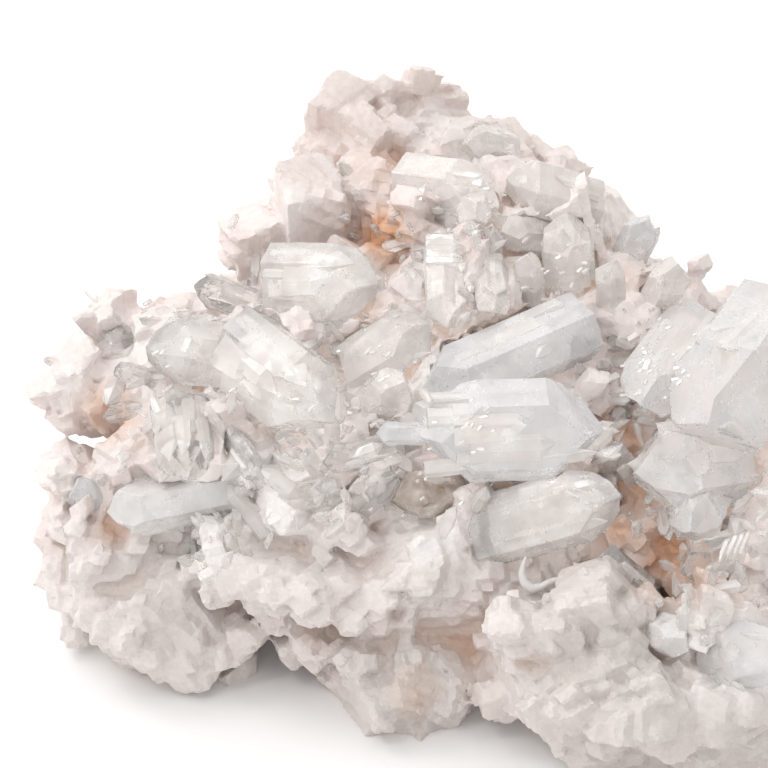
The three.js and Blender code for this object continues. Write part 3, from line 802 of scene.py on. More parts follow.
def thinned(piece, triangles):
    """Merges the flattest neighbouring faces until about so many triangles are left."""
    decimate = piece.modifiers.new("fewer_faces", "DECIMATE")
    decimate.ratio = min(1.0, triangles / len(triangles_of(piece)))
    fewer = finished_mesh(piece)
    piece.modifiers.clear()
    piece.data = fewer
    fewer.polygons.foreach_set("use_smooth", np.ones(len(fewer.polygons), bool))
    fewer.set_sharp_from_angle(angle=EDGE_ANGLE)
    return piece


worn = smoothed(stepped(skin_points, STEP_SIZE), skin_quads, WEAR_ROUNDS, WEAR_SHARE)
worn[:, 2] = np.where(skin_points[:, 2] < TABLE_BAND, skin_points[:, 2], worn[:, 2])
worn[:, 2] = np.maximum(worn[:, 2], 0.0)
dolomite_skin = thinned(mesh_piece("dolomite_skin", worn, skin_quads), SKIN_TRIANGLES)
print("after thinning:", size_of(dolomite_skin))

# %% [markdown]
# ## Stains, painted grey shade, milky films and veins
# Water has left iron in the deep pockets between the crystals and in a few brown rhombs on the
# left arm. Painted shade greys the stone in a few zones, mostly low on the front where less light
# falls. Milky quartz films some of it, and dark veins cut the arm. They could be painted on a
# texture. Instead each is worked out from the place of a corner and kept as a number on it,
# which the finish turns into a colour. The stains reach further along the line of sight than
# across it, because the pockets are deep.

# %% Iron pockets: middle across, up and out, reach and strength
IRON_POCKETS = [
    ((0.2, 18.8, -12.5), 3.6, 1.3),
    ((0.5, 27.6, -22), 3.2, 0.8),
    ((-3.4, 27.0, -21), 2.6, 0.6),
    ((31.0, -12.0, -5), 5.5, 0.8),
    ((30.5, -6.0, -4), 3.4, 0.7),
    ((37.0, -21.5, -2), 6.5, 0.85),
    ((29.0, -18.5, 0), 4.0, 0.6),
    ((-35.0, -3.8, -8), 3.8, 0.7),
    ((-31.0, -7.4, -9), 2.2, 0.9),
    ((-34.2, -18.2, -7), 2.4, 0.55),
    ((-29.4, -9.8, -8), 1.6, 0.7),
    ((3.4, -38.4, -2), 4.0, 0.35),
    ((18.0, -33.6, 6), 3.0, 0.3),
    ((-8.0, -31.0, -3), 3.4, 0.22),
    ((30.0, 14.0, -6), 2.4, 0.4),
    ((9.6, 5.4, -5), 3.0, 0.4),
]
LONG_IN_SIGHT = (1, 1, 0.4)


def iron_at(points):
    """The strongest of the pockets, made uneven by noise."""
    return strongest(points, IRON_POCKETS, LONG_IN_SIGHT) * (0.6 + 0.8 * noise(points, 1.6, seed=61))


print("iron at the pockets:", iron_at(from_display([p[0] for p in IRON_POCKETS])).round(1))

# %% Painted grey shade and milky zones: middle across and up, reach and strength
GREY_SHADE_ZONES = [
    ((-10, -24), 9, 0.5),
    ((-26, -27), 13, 0.5),
    ((44, -42), 13, 0.8),
    ((31, -35), 16, 1.0),
    ((3, -38), 9, 1.0),
    ((7, -23), 6, 0.6),
    ((40, -18), 8, 0.6),
    ((12, 33), 6, 0.4),
]
MILKY_ZONES = [
    ((-21, -19), 6, 0.8),
    ((-13, -13), 7, 0.8),
    ((6, -17), 6, 0.7),
    ((40, -33), 7, 0.6),
]


def milky_at(points):
    """Where milky quartz films the stone: the strongest of the zones, made uneven by noise."""
    return strongest(points, MILKY_ZONES) * (0.5 + noise(points, 1.8, seed=81))


print("grey zones:", len(GREY_SHADE_ZONES), "milky zones:", len(MILKY_ZONES))

# %% Veins and a speck
VEINED_ARM = (-38.0, -1.2)
ARM_REACH = 4.6
VEIN_WIDTH = 0.035
VEIN_SHARE = 0.45
SPECK_PLACE = (10.3, -20.8)
SPECK_RADIUS = 0.5


def within(points, middle, radius):
    """Which points lie nearer than the radius to a place across and up on the display side."""
    return ((to_display(points)[:, :2] - middle) ** 2).sum(1) < radius ** 2


def vein_at(points):
    """1 in the dark veins of the arm, where smooth noise passes through a half, and in a speck."""
    sheet = np.abs(noise(points, 2.6, seed=71) - 0.5) < VEIN_WIDTH
    veins = within(points, VEINED_ARM, ARM_REACH) * sheet * (noise(points, 1.7, seed=72) > VEIN_SHARE)
    return np.maximum(veins, within(points, SPECK_PLACE, SPECK_RADIUS))


print("the speck's middle:", vein_at(from_display([(*SPECK_PLACE, 0)])))

# %% What the stone's finish reads: one number per corner for each
skin_places = corners_of(dolomite_skin.data)
STONE_READINGS = {
    "Tint": noise(skin_places, 6.0, seed=31),
    # Painted shade: greyer stone in zones where less light falls, mostly low on the front
    "Grey": strongest(skin_places, GREY_SHADE_ZONES),
    # Shelter drives painted warm light: the light scattered and bounced in crevices
    "Shelter": look_up(SHELTER, skin_places),
    # Contact drives painted light beside and under quartz, and marks the real milky films
    "Contact": np.maximum(look_up(NEAR_QUARTZ, skin_places), milky_at(skin_places)),
    "Iron": iron_at(skin_places),
    "Vein": vein_at(skin_places),
}
for reading, values in STONE_READINGS.items():
    layer = dolomite_skin.data.attributes.new(reading.lower(), "FLOAT", "POINT")
    layer.data.foreach_set("value", values.astype(np.float32))
    print(reading, "mean:", round(float(values.mean()), 3))

# %% [markdown]
# ## The large quartz
# Each large crystal is a solid of the CAD model. Its copy here keeps the flat faces and gets
# worn edges: a hair of bevel that catches the light. Low growth hillocks, a displacement by
# clouds, keep the faces from being perfect mirrors. Quartz also grows fine ribs across its prism
# faces. They are too fine to model, so a face map in millimetres, along each crystal and round
# it, tells the finish where they run.

# %% The crystals' roots, tips and widths, on the display side
CRYSTALS = {
    "broad_left": ((-14, 12.6, -9), (-0.8, 12.4, -2), 9.4),
    "rim_point": ((-16, 9.8, -13), (-24.2, 12.6, -10), 4),
    "left_point": ((-28, 4.1, -11), (-37, 4.9, -9), 3.4),
    "ribbed": ((-19, 3.4, -8), (-29.6, 4.6, -1), 8.4),
    "lilac": ((-18.6, 4.8, -5.4), (-6.4, -4.6, 4), 10.6),
    "stub": ((-25.8, -3.2, -4), (-24.4, -11.8, 3.4), 7.2),
    "sliver_a": ((-28, -2.2, -8), (-35.6, -4.2, -4.4), 2.2),
    "sliver_b": ((-29, 0.4, -8), (-34, 2, -4.5), 2.4),
    "long_left": ((-18, -13, -5.6), (-34.8, -16.2, -3.6), 6.6),
    "low_left": ((-35, -14, -11), (-39.6, -13.8, -5), 4.2),
    "main": ((4.4, -6.2, 7.6), (27, -5.6, 6.2), 11),
    "main_spur": ((6.6, -6, 6.4), (-1, -6.1, 7), 2.6),
    "long_right": ((12, -18.6, -1), (29, -13.8, 6.4), 8),
    "window": ((32.5, -26, 1), (26.6, -21, 8), 4.2),
    "right_point": ((46.6, -19.6, 0), (36.4, -23, 8), 5),
    "grey": ((43, -9.4, -3), (31.2, -10.8, 7), 10.6),
    "grey_low": ((40.6, -13.6, -2), (37.6, -18, 8), 6.2),
    "great": ((49, 6, -9), (39.4, -4.4, 15.5), 15),
    "great_side": ((39.5, 7, -5), (31.6, -2.4, 7.4), 8),
    "upright": ((7.4, 18, -6), (7.8, 7.2, 2.6), 4.6),
    "drop": ((13.4, 15, -4.6), (13.6, 9, 4), 4),
    "upper_broad": ((3, 24.6, -16), (14.6, 22.6, -8), 9.6),
    "upper_eye": ((11.4, 23, -10), (11.4, 20.8, -4.6), 4),
    "ridge_round": ((16, 31, -22), (10.8, 31.2, -15), 4.6),
    "ridge_slab": ((27, 23, -14), (15.6, 26, -8), 7),
    "block": ((20, 19, -11), (15, 19.2, -4.4), 4.2),
    "columns_a": ((23.6, 13.4, -10), (23, 21.6, -6), 7),
    "columns_b": ((28.8, 9.4, -8), (28.2, 15.2, -1.8), 3.6),
    "columns_c": ((18.6, 11, -7), (18, 16.2, -1.6), 3.6),
    "ridge_blue": ((31.6, 16.4, -14), (33.8, 21, -8.4), 4.4),
    "ridge_brown": ((35, 10.4, -9), (37, 15, -2.4), 5),
    "cracked_a": ((-3.6, 2, -4), (5.4, 7.4, 2.6), 7),
    "cracked_b": ((-1.8, -2.4, -3), (2.4, 0.2, 5.4), 5.2),
    "diagonal": ((25, 7.4, -5), (4.6, -1.4, 5), 8),
    "brown": ((8.6, -13, -1), (1.4, -14, 6), 5.2),
    "sheaf_a": ((2.6, -7.4, -1), (-7.6, -9.8, 5), 3.2),
    "sheaf_b": ((-6, -17.4, -3), (1.4, -11, 5), 3.8),
    "sheaf_c": ((-13.2, -14.8, -3), (-5.6, -13.2, 5.4), 3.8),
    "wing": ((-19.4, -6.8, -3), (-15.6, -11.4, 3.4), 3.4),
    "hidden_b": ((26, -9.6, -4), (30.4, -8.6, 2), 3.4),
    "low_right": ((41, -31.4, 9), (46.4, -34.4, 18.5), 8.6),
    "low_right_b": ((33.4, -30.4, 8), (36.2, -30.6, 16), 4.4),
    "end_high": ((55, 1, -10), (59.5, 4, 2), 7.2),
    "end_mid": ((56, -11, -4), (64, -9, 5.5), 6.6),
    "end_low": ((55, -26, -4), (62.5, -24, 7), 7),
    "back_high": ((22, 17, -30), (24, 27, -34), 6),
    "back_right": ((44, 0, -32), (51, 9, -36), 6.4),
}
crystal_root = from_display([c[0] for c in CRYSTALS.values()])
crystal_tip = from_display([c[1] for c in CRYSTALS.values()])
crystal_width = np.array([c[2] for c in CRYSTALS.values()], float)
crystal_axis = crystal_tip - crystal_root
crystal_length = np.linalg.norm(crystal_axis, axis=1)
crystal_axis /= crystal_length[:, None]
print("large crystals:", len(CRYSTALS), "longest:", round(crystal_length.max(), 1), "mm")

# %% Copies with worn edges and hillocks
QUARTZ_BEVEL = 0.14
HILLOCK_HEIGHT = 0.5
HILLOCK_WIDTH = 1.6
FLAT_WITHIN = math.radians(1)
EDGE_FROM = math.radians(12)
hillock_clouds = bpy.data.textures.new("growth_hillocks", "CLOUDS")
hillock_clouds.noise_scale = HILLOCK_WIDTH * MM
hillock_clouds.noise_depth = 1


def crystal_at(points):
    """The number of the crystal whose axis, less its half width, lies nearest to each point."""
    along = np.einsum("pcj,cj->pc", points[:, None] - crystal_root, crystal_axis)
    along = np.clip(along, 0, crystal_length)
    nearest = crystal_root + along[..., None] * crystal_axis
    return (np.linalg.norm(points[:, None] - nearest, axis=2) - crystal_width / 2).argmin(1)


def add_face_map(data):
    """A UV map in millimetres: round the crystal (axis x face normal), and along its axis."""
    sides = read(data.polygons, "loop_total", kind=np.int32)
    face_of_loop = np.repeat(np.arange(len(sides)), sides)
    crystal = crystal_at(read(data.polygons, "center", 3).astype(float) / MM)[face_of_loop]
    normals = read(data.polygons, "normal", 3).astype(float)[face_of_loop]
    place = corners_of(data)[read(data.loops, "vertex_index", kind=np.int32)] - crystal_root[crystal]
    along = crystal_axis[crystal]
    pair = np.stack([(place * np.cross(along, normals)).sum(1), (place * along).sum(1)], 1)
    data.uv_layers.new(name="face").data.foreach_set("uv", pair.astype(np.float32).ravel())


def quartz_copy(node_name):
    """The node's solid with whole faces, a face map, a fine bevel and low hillocks."""
    welded = welded_copy(CAD_QUARTZ[node_name])
    bmesh.ops.dissolve_limit(welded, angle_limit=FLAT_WITHIN, verts=welded.verts, edges=welded.edges)
    data = bpy.data.meshes.new(node_name + "_crystal")
    welded.to_mesh(data)
    welded.free()
    add_face_map(data)
    made = bpy.data.objects.new(data.name, data)
    bpy.context.scene.collection.objects.link(made)
    bevel = made.modifiers.new("worn_edges", "BEVEL")
    bevel.width = QUARTZ_BEVEL * MM
    bevel.segments = 1
    bevel.limit_method = "ANGLE"
    bevel.angle_limit = EDGE_FROM
    finer = made.modifiers.new("finer_faces", "SUBSURF")
    finer.subdivision_type = "SIMPLE"
    finer.levels = finer.render_levels = 2
    hillocks = made.modifiers.new("growth_hillocks", "DISPLACE")
    hillocks.texture = hillock_clouds
    hillocks.texture_coords = "LOCAL"
    hillocks.strength = HILLOCK_HEIGHT * MM
    return made


large_quartz = {name: quartz_copy(name) for name in CAD_QUARTZ}
print("quartz copies:", len(large_quartz))

# %% [markdown]
# ## Small quartz as arrays
# A small crystal is a six-sided prism whose point stands off its axis, so that its six end
# faces differ in size, as they do on real quartz. Rings of corners along the prism step in
# and out a little, which are growth ribs. Cones and cylinders could be joined for that, but as
# with the rhombs, one set of arrays makes thousands of crystals at once.

# %% Prisms
RIB_DEPTH = 0.05
TAPER = 0.12
SKEW = 0.12
OFF_AXIS = 0.22
POINT_LENGTHS = (0.45, 0.75)
SHOULDER_FROM = 0.2
SIDES = 6


def prism_faces(rings):
    """The triangles of one crystal: walls between its rings, a fan to the tip, and one to the root."""
    around, after = np.arange(SIDES), np.roll(np.arange(SIDES), -1)
    walls = np.stack([around, after, after + SIDES, around + SIDES], 1)
    walls = (walls + SIDES * np.arange(rings - 1)[:, None, None]).reshape(-1, 4)
    top, tip = (rings - 1) * SIDES, np.full(SIDES, rings * SIDES)
    cap = np.stack([top + around, top + after, tip], 1)
    foot = np.stack([after, around, tip + 1], 1)
    return np.concatenate([walls[:, [0, 1, 2]], walls[:, [0, 2, 3]], cap, foot])


def prism_piece(name, roots, axes, widths, lengths, rng, rings=2, flats=1.0, thin_way=None, uneven=1.0):
    """Joined prisms: ring corners at 60 degree steps, widened or narrowed ring by ring, and a tip.

    A ring's corner is root + axis x height + half width x (cosine x side x flat + sine x other
    side). Unevenness scales the ribs, the taper and the skew of the corners."""
    count = len(roots)
    side = np.cross(axes, rng.normal(size=(count, 3))) if thin_way is None else thin_way
    side = unit(side - axes * (side * axes).sum(1, keepdims=True))
    other = np.cross(axes, side)
    point = widths * rng.uniform(*POINT_LENGTHS, count)
    shoulder = np.maximum(lengths - point, SHOULDER_FROM * lengths)
    height = np.linspace(0, 1, rings)[None] * shoulder[:, None]
    if rings > 2:
        height[:, 1:-1] += (rng.random((count, rings - 2)) - 0.5) * (shoulder / rings)[:, None]
    reach = 1 - uneven * RIB_DEPTH * 2 * rng.random((count, rings))
    reach *= np.linspace(1, 1 - TAPER * uneven, rings)
    angle = np.radians(360 / SIDES) * np.arange(SIDES)
    angle = angle + uneven * rng.uniform(-SKEW, SKEW, (count, SIDES))
    corner = 0.5 * widths[:, None, None] * reach[..., None]
    corner_side = corner * np.cos(angle)[:, None] * np.reshape(flats, (-1, 1, 1))
    corner_other = corner * np.sin(angle)[:, None]
    ring_points = (
        roots[:, None, None] + height[..., None, None] * axes[:, None, None]
        + corner_side[..., None] * side[:, None, None] + corner_other[..., None] * other[:, None, None]
    )
    off = rng.uniform(-OFF_AXIS, OFF_AXIS, (2, count)) * widths
    tips = roots + axes * lengths[:, None] + off[0][:, None] * side + off[1][:, None] * other
    points = np.concatenate([ring_points.reshape(count, -1, 3), tips[:, None], roots[:, None]], 1)
    faces = prism_faces(rings)[None] + points.shape[1] * np.arange(count)[:, None, None]
    points = points.reshape(-1, 3)
    points[:, 2] = np.maximum(points[:, 2], 0.0)
    return mesh_piece(name, points, faces.reshape(-1, 3))


print("triangles of a crystal with 2, 3 and 4 rings:", [len(prism_faces(rings)) for rings in (2, 3, 4)])

# %% [markdown]
# ## Side crystals
# Large quartz crystals carry smaller ones. Most are thin plates that lie nearly along the
# parent's sides, and the thick crystals also have comrades, which stand off at an angle. How
# many grow on a parent follows from its size.

# %% Plates and comrades
AREA_EACH = 6
FEWEST, MOST = 3, 30
COMRADE_SHARE = 0.4
COMRADES_FROM = 4.1
COMRADE_NEARER = 0.6
COMRADE_LEAN, PLATE_LEAN = 22, 4
COMRADE_THICKER = 0.3
SIDE_WIDTHS, SIDE_FLATNESS, SIDE_LENGTHS = (0.16, 0.55), (0.25, 0.75), (0.22, 0.5)
SIDE_STARTS, SIDE_DEPTHS = (0, 0.5), (0.15, 0.75)
SIDE_STANDS = 0.45
LEAST_SLENDER = 1.4
side_rng = np.random.default_rng(17)
side_counts = np.round(crystal_width * crystal_length / AREA_EACH).astype(int).clip(FEWEST, MOST)
parent = np.repeat(np.arange(len(CRYSTALS)), side_counts)
count = len(parent)
comrade = (side_rng.random(count) < COMRADE_SHARE) & (crystal_width[parent] > COMRADES_FROM)
outwards = unit(np.cross(crystal_axis[parent], side_rng.normal(size=(count, 3))))
side_width = crystal_width[parent] * side_rng.uniform(*SIDE_WIDTHS, count)
side_flat = side_rng.uniform(*SIDE_FLATNESS, count) + COMRADE_THICKER * comrade
side_start = crystal_length[parent] * side_rng.uniform(*SIDE_STARTS, count)
side_length = crystal_length[parent] * side_rng.uniform(*SIDE_LENGTHS, count)
side_length = np.maximum(side_length, LEAST_SLENDER * side_width)
depth_in = side_rng.uniform(*SIDE_DEPTHS, count)
stand = SIDE_STANDS * crystal_width[parent] - 0.5 * side_width * side_flat * depth_in
stand *= np.where(comrade, COMRADE_NEARER, 1.0)
side_lean = wobbles(count, np.where(comrade, COMRADE_LEAN, PLATE_LEAN), side_rng)
side_axis = turned(side_lean, crystal_axis[parent])
side_root = crystal_root[parent] + crystal_axis[parent] * side_start[:, None] + outwards * stand[:, None]
side_quartz = prism_piece(
    "quartz_side_crystals", side_root, side_axis, side_width, side_length, side_rng,
    rings=4, flats=side_flat, thin_way=outwards,
)
print(size_of(side_quartz))

# %% [markdown]
# ## The field of small points
# Between the large crystals the stone is covered with small quartz points, thickest in the
# middle. A particle system could scatter them, but it would leave them as loose copies. Here
# they are drawn by zones and made as one mesh. They lean every way, with neighbours alike.

# %% Where points grow: middle across and up, reach and share
POINT_PLACES = 11000
POINT_ZONES = [
    ((-6, -6), 15, 1.0),
    ((14, -4), 16, 1.0),
    ((-22, 0), 9, 0.8),
    ((6, 12), 11, 0.8),
    ((26, 12), 8, 0.35),
    ((34, -6), 11, 0.9),
    ((44, -16), 10, 0.9),
    ((12, 28), 7, 0.25),
    ((-1, -18), 6, 0.4),
    ((-21, -18), 5.5, 0.9),
    ((-13, -13), 6, 1.0),
    ((20, -16), 6, 0.4),
]
BARE_ABOVE = 34
FOOT_BELOW, FOOT_LEFT_OF = -17.5, 30
ARM_FOOT_BELOW, ARM_ENDS = -23, -14
FACING = -0.1
POINT_LOOK_AHEAD = 0.8
HIDDEN_IN_QUARTZ = 0.35
point_rng = np.random.default_rng(19)
point_spots, point_outward = places_on(dolomite_skin, POINT_PLACES, point_rng)
across, up, _ = to_display(point_spots).T
thickness = strongest(point_spots, POINT_ZONES) * (point_outward @ OUT > FACING) * (up < BARE_ABOVE)
low_foot = (up < FOOT_BELOW) & (across < FOOT_LEFT_OF)
thickness[low_foot & ((up < ARM_FOOT_BELOW) | (across > ARM_ENDS))] = 0
carries = point_rng.random(len(point_spots)) < thickness
carries &= look_up(NEAR_QUARTZ, point_spots + POINT_LOOK_AHEAD * point_outward) < HIDDEN_IN_QUARTZ
point_spots, point_outward = point_spots[carries], point_outward[carries]
print("points:", len(point_spots))

# %% Small points
TOWARDS_EYE = 0.8
LEAN_ALIKE = 4.0
LEAN_APART = 0.5
NEIGHBOURS_WITHIN = 6.0
USUAL_WIDTH, WIDTH_SPREAD, WIDTH_LIMITS = 1.4, 0.45, (0.5, 4.0)
SLENDERNESS = (1.6, 3.4)
POINT_FLATNESS = (0.55, 1.0)
SUNK_SHARE = 0.35
count = len(point_spots)
lean_alike = LEAN_ALIKE * noise_vectors(point_spots, NEIGHBOURS_WITHIN, (41, 42, 43))
lean_apart = LEAN_APART * point_rng.normal(size=(count, 3))
point_axis = unit(point_outward + TOWARDS_EYE * OUT + lean_alike + lean_apart)
point_width = point_rng.lognormal(math.log(USUAL_WIDTH), WIDTH_SPREAD, count).clip(*WIDTH_LIMITS)
point_length = point_width * point_rng.uniform(*SLENDERNESS, count)
point_root = point_spots - point_axis * (SUNK_SHARE * point_length)[:, None]
small_points = prism_piece(
    "quartz_small_points", point_root, point_axis, point_width, point_length, point_rng,
    rings=3, flats=point_rng.uniform(*POINT_FLATNESS, count),
)
print(size_of(small_points))

# %% [markdown]
# ## Finishes
# Every finish is a tree of nodes. Short helpers place nodes and set or link their inputs, so
# that each tree reads as a list of what it does. What the finishes of one mineral share is a
# node group, made once, which puts out a colour, a roughness and a normal.

# %% Helpers for node trees
FINISH_SOCKETS = {
    "Color": ("NodeSocketColor", "Base Color"),
    "Roughness": ("NodeSocketFloat", "Roughness"),
    "Normal": ("NodeSocketVector", "Normal"),
}


def rgb(red, green, blue):
    """An opaque colour."""
    return (red, green, blue, 1.0)


def mix_colour(tree, share, first, second):
    """The output of a colour mix."""
    return add_node(tree, "Mix", {"data_type": "RGBA"}, _0=share, _6=first, _7=second).outputs[2]


def vector_math(tree, operation, **inputs):
    """The output of one Vector Math node."""
    return add_node(tree, "VectorMath", {"operation": operation}, **inputs).outputs[0]


def noise_node(tree, where, scale, detail=3.0, roughness=0.55):
    """The value of a noise texture, with so many waves to a metre."""
    made = add_node(tree, "TexNoise", None, Vector=where, Scale=scale, Detail=detail, Roughness=roughness)
    return made.outputs["Fac"]


def stretch(tree, value, low, high, new_low=0.0, new_high=1.0):
    """The output of a clamped Map Range."""
    ends = {"From_Min": low, "From_Max": high, "To_Min": new_low, "To_Max": new_high}
    return add_node(tree, "MapRange", {"clamp": True}, Value=value, **ends).outputs["Result"]


def facet_normal(tree, where, per_metre, tilt):
    """The surface's normal, tilted a little and anew in each cell of a jumbled mosaic."""
    cells = add_node(tree, "TexVoronoi", None, Vector=where, Scale=per_metre).outputs["Color"]
    lean = vector_math(tree, "SUBTRACT", _0=cells, _1=(0.5, 0.5, 0.5))
    lean = vector_math(tree, "SCALE", _0=lean, Scale=tilt)
    leaning = vector_math(tree, "ADD", _0=add_node(tree, "NewGeometry").outputs["Normal"], _1=lean)
    return vector_math(tree, "NORMALIZE", _0=leaning)


def new_group(name, colours, numbers):
    """A node group that takes these colours and numbers, with its input and output sockets."""
    group = bpy.data.node_groups.new(name, "ShaderNodeTree")
    for socket_name in colours:
        group.interface.new_socket(socket_name, in_out="INPUT", socket_type="NodeSocketColor")
    for socket_name in numbers:
        group.interface.new_socket(socket_name, in_out="INPUT", socket_type="NodeSocketFloat")
    for socket_name, (kind, _) in FINISH_SOCKETS.items():
        group.interface.new_socket(socket_name, in_out="OUTPUT", socket_type=kind)
    return group, group.nodes.new("NodeGroupInput").outputs, group.nodes.new("NodeGroupOutput").inputs


def new_finish(name, group, index):
    """A material with a shader that reads the group; returns also the shader and the group's node."""
    material = bpy.data.materials.new(name)
    material.use_nodes = True
    shader = material.node_tree.nodes["Principled BSDF"]
    shader.inputs["IOR"].default_value = index
    body = material.node_tree.nodes.new("ShaderNodeGroup")
    body.node_tree = group
    for socket_name, (_, shader_input) in FINISH_SOCKETS.items():
        material.node_tree.links.new(body.outputs[socket_name], shader.inputs[shader_input])
    return material, shader, body


print("each finish's group puts out:", list(FINISH_SOCKETS))

# %% [markdown]
# ## The dolomite's finish
# Pale pink stone. Its grains go from pale to pink. Painted shade greys some stone, sheltered
# places are painted warmer with the light that scatters and bounces in them, and painted light
# whitens the stone beside quartz, which brightens the crystals seen over it. Milky films, iron
# and veins lie over that. So the group mixes one colour after another over the pale stone, each
# by one of the corners' numbers. Light passing under the surface would soften it, but it costs
# much time and barely shows here.

# %% Stone group: the number read, where its colour starts and is full, its most, and the colour
PALE = rgb(0.82, 0.755, 0.73)
STONE_LAYERS = [
    ("Tint", 0.25, 0.8, 1.0, rgb(0.79, 0.69, 0.655)),
    # Painted shade: greyer stone in zones where less light falls, mostly low on the front
    ("Grey", 0.0, 1.0, 1.0, rgb(0.64, 0.60, 0.57)),
    # Painted warm light: sheltered stone warmer, and browner where deepest, for light bounced in crevices
    ("Shelter", 0.66, 0.90, 1.0, rgb(0.84, 0.70, 0.62)),
    ("Shelter", 0.84, 1.0, 1.0, rgb(0.78, 0.57, 0.46)),
    # Painted light: stone beside and under quartz whitened, which brightens the crystals seen over it; milky
    # films whiten it too
    ("Contact", 0.15, 0.55, 1.0, rgb(0.90, 0.865, 0.85)),
    ("Iron", 0.08, 0.9, 1.0, rgb(0.66, 0.36, 0.21)),
    ("Vein", 0.0, 1.0, 0.6, rgb(0.16, 0.10, 0.08)),
]
GRIT_PER_METRE = 1400.0
GRIT_TILT = 0.18
GRIT_BRIGHTNESS = (0.35, 0.7, 0.94, 1.04)
GRIT_ROUGHNESS = (0.3, 0.7, 0.28, 0.55)

stone_group, stone_in, stone_out = new_group("stone_grain", (), STONE_READINGS)
where = add_node(stone_group, "TexCoord").outputs["Object"]
grit = noise_node(stone_group, where, GRIT_PER_METRE, 2.0, 0.65)
colour = PALE
for reading, low, high, most, layer_colour in STONE_LAYERS:
    share = stretch(stone_group, stone_in[reading], low, high, 0.0, most)
    colour = mix_colour(stone_group, share, colour, layer_colour)
speckle = stretch(stone_group, grit, *GRIT_BRIGHTNESS)
colour = vector_math(stone_group, "SCALE", _0=colour, Scale=speckle)
stone_group.links.new(colour, stone_out["Color"])
stone_group.links.new(stretch(stone_group, grit, *GRIT_ROUGHNESS), stone_out["Roughness"])
stone_group.links.new(facet_normal(stone_group, where, GRIT_PER_METRE, GRIT_TILT), stone_out["Normal"])
print("stone group nodes:", len(stone_group.nodes))

# %% Stone material
DOLOMITE_INDEX = 1.6
skin_stone, _, stone_body = new_finish("dolomite_stone", stone_group, DOLOMITE_INDEX)
for reading in STONE_READINGS:
    stored = add_node(skin_stone.node_tree, "Attribute", {"attribute_name": reading.lower()}).outputs["Fac"]
    skin_stone.node_tree.links.new(stored, stone_body.inputs[reading])
dolomite_skin.data.materials.append(skin_stone)
print("stone finish nodes:", len(skin_stone.node_tree.nodes))

# %% [markdown]
# ## The quartz's finishes
# Clear quartz lets nearly all light through and bends it by 1.544. Cloudy and milky quartz hold
# veils that scatter part of it. The veils could be solids inside, but a body's clearness as a
# plain number does as well and renders sooner. The nodes give only the veils' colour, the
# frosting, the facets and the ribs.

# %% Quartz group
VEILS_PER_METRE = 260.0
FACETS_PER_METRE = 550.0
VEILED_FROM_TO = (0.4, 0.65)
FROSTED_TO_FROM = (0.35, 0.65)

body_numbers = ("Polish", "Frost", "Tilt")
quartz_group, quartz_in, quartz_out = new_group("quartz_veils", ("Clear", "Veil"), body_numbers)
where = add_node(quartz_group, "TexCoord").outputs["Object"]
veil = noise_node(quartz_group, where, VEILS_PER_METRE, 3.0, 0.6)
veiled = stretch(quartz_group, veil, *VEILED_FROM_TO)
colour = mix_colour(quartz_group, veiled, quartz_in["Clear"], quartz_in["Veil"])
frosted = stretch(quartz_group, veil, *FROSTED_TO_FROM, quartz_in["Frost"], quartz_in["Polish"])
facets = facet_normal(quartz_group, where, FACETS_PER_METRE, quartz_in["Tilt"])
quartz_group.links.new(colour, quartz_out["Color"])
quartz_group.links.new(frosted, quartz_out["Roughness"])
quartz_group.links.new(facets, quartz_out["Normal"])
print("quartz group nodes:", len(quartz_group.nodes))

# %% Quartz bodies: clear and veil colours, transmission, polish and frost roughness, facets' tilt
CLEAR = rgb(0.975, 0.955, 0.94)
VEIL = rgb(0.85, 0.81, 0.79)
MILK = rgb(0.83, 0.83, 0.835)
COOL = rgb(0.88, 0.88, 0.885)
SLAB = rgb(0.93, 0.885, 0.855)
SLAB_VEIL = rgb(0.87, 0.815, 0.785)
WHITE = rgb(0.90, 0.88, 0.865)
SMALL_VEIL = rgb(0.90, 0.86, 0.84)
TAN = rgb(0.84, 0.77, 0.71)
SPECK = rgb(0.42, 0.32, 0.25)
QUARTZ_BODIES = {
    "clear": (CLEAR, VEIL, 0.8, 0.06, 0.25, 0.16),
    "cloudy": (CLEAR, VEIL, 0.62, 0.12, 0.4, 0.12),
    "milky": (VEIL, MILK, 0.45, 0.15, 0.45, 0.1),
    "cool": (COOL, MILK, 0.5, 0.1, 0.35, 0.1),
    "warm": (SLAB, SLAB_VEIL, 0.4, 0.12, 0.35, 0.06),
    "lip": (WHITE, WHITE, 0.15, 0.12, 0.3, 0.04),
    "speckled": (TAN, SPECK, 0.6, 0.1, 0.3, 0.1),
    # Painted light: a paler, less clear body for the long crystals that lie in shade
    "long": (CLEAR, WHITE, 0.35, 0.1, 0.4, 0.12),
    "warm_clear": (SLAB, SMALL_VEIL, 0.55, 0.08, 0.35, 0.12),
    "pale": (MILK, VEIL, 0.3, 0.12, 0.3, 0.06),
    "small": (CLEAR, SMALL_VEIL, 0.55, 0.08, 0.3, 0.1),
}
WITHOUT_RIBS = ("lip", "small")
QUARTZ_INDEX = 1.544
RIBS_TO_A_MM = (0.12, 2.6, 1.0)
RIB_RELIEF = 0.1


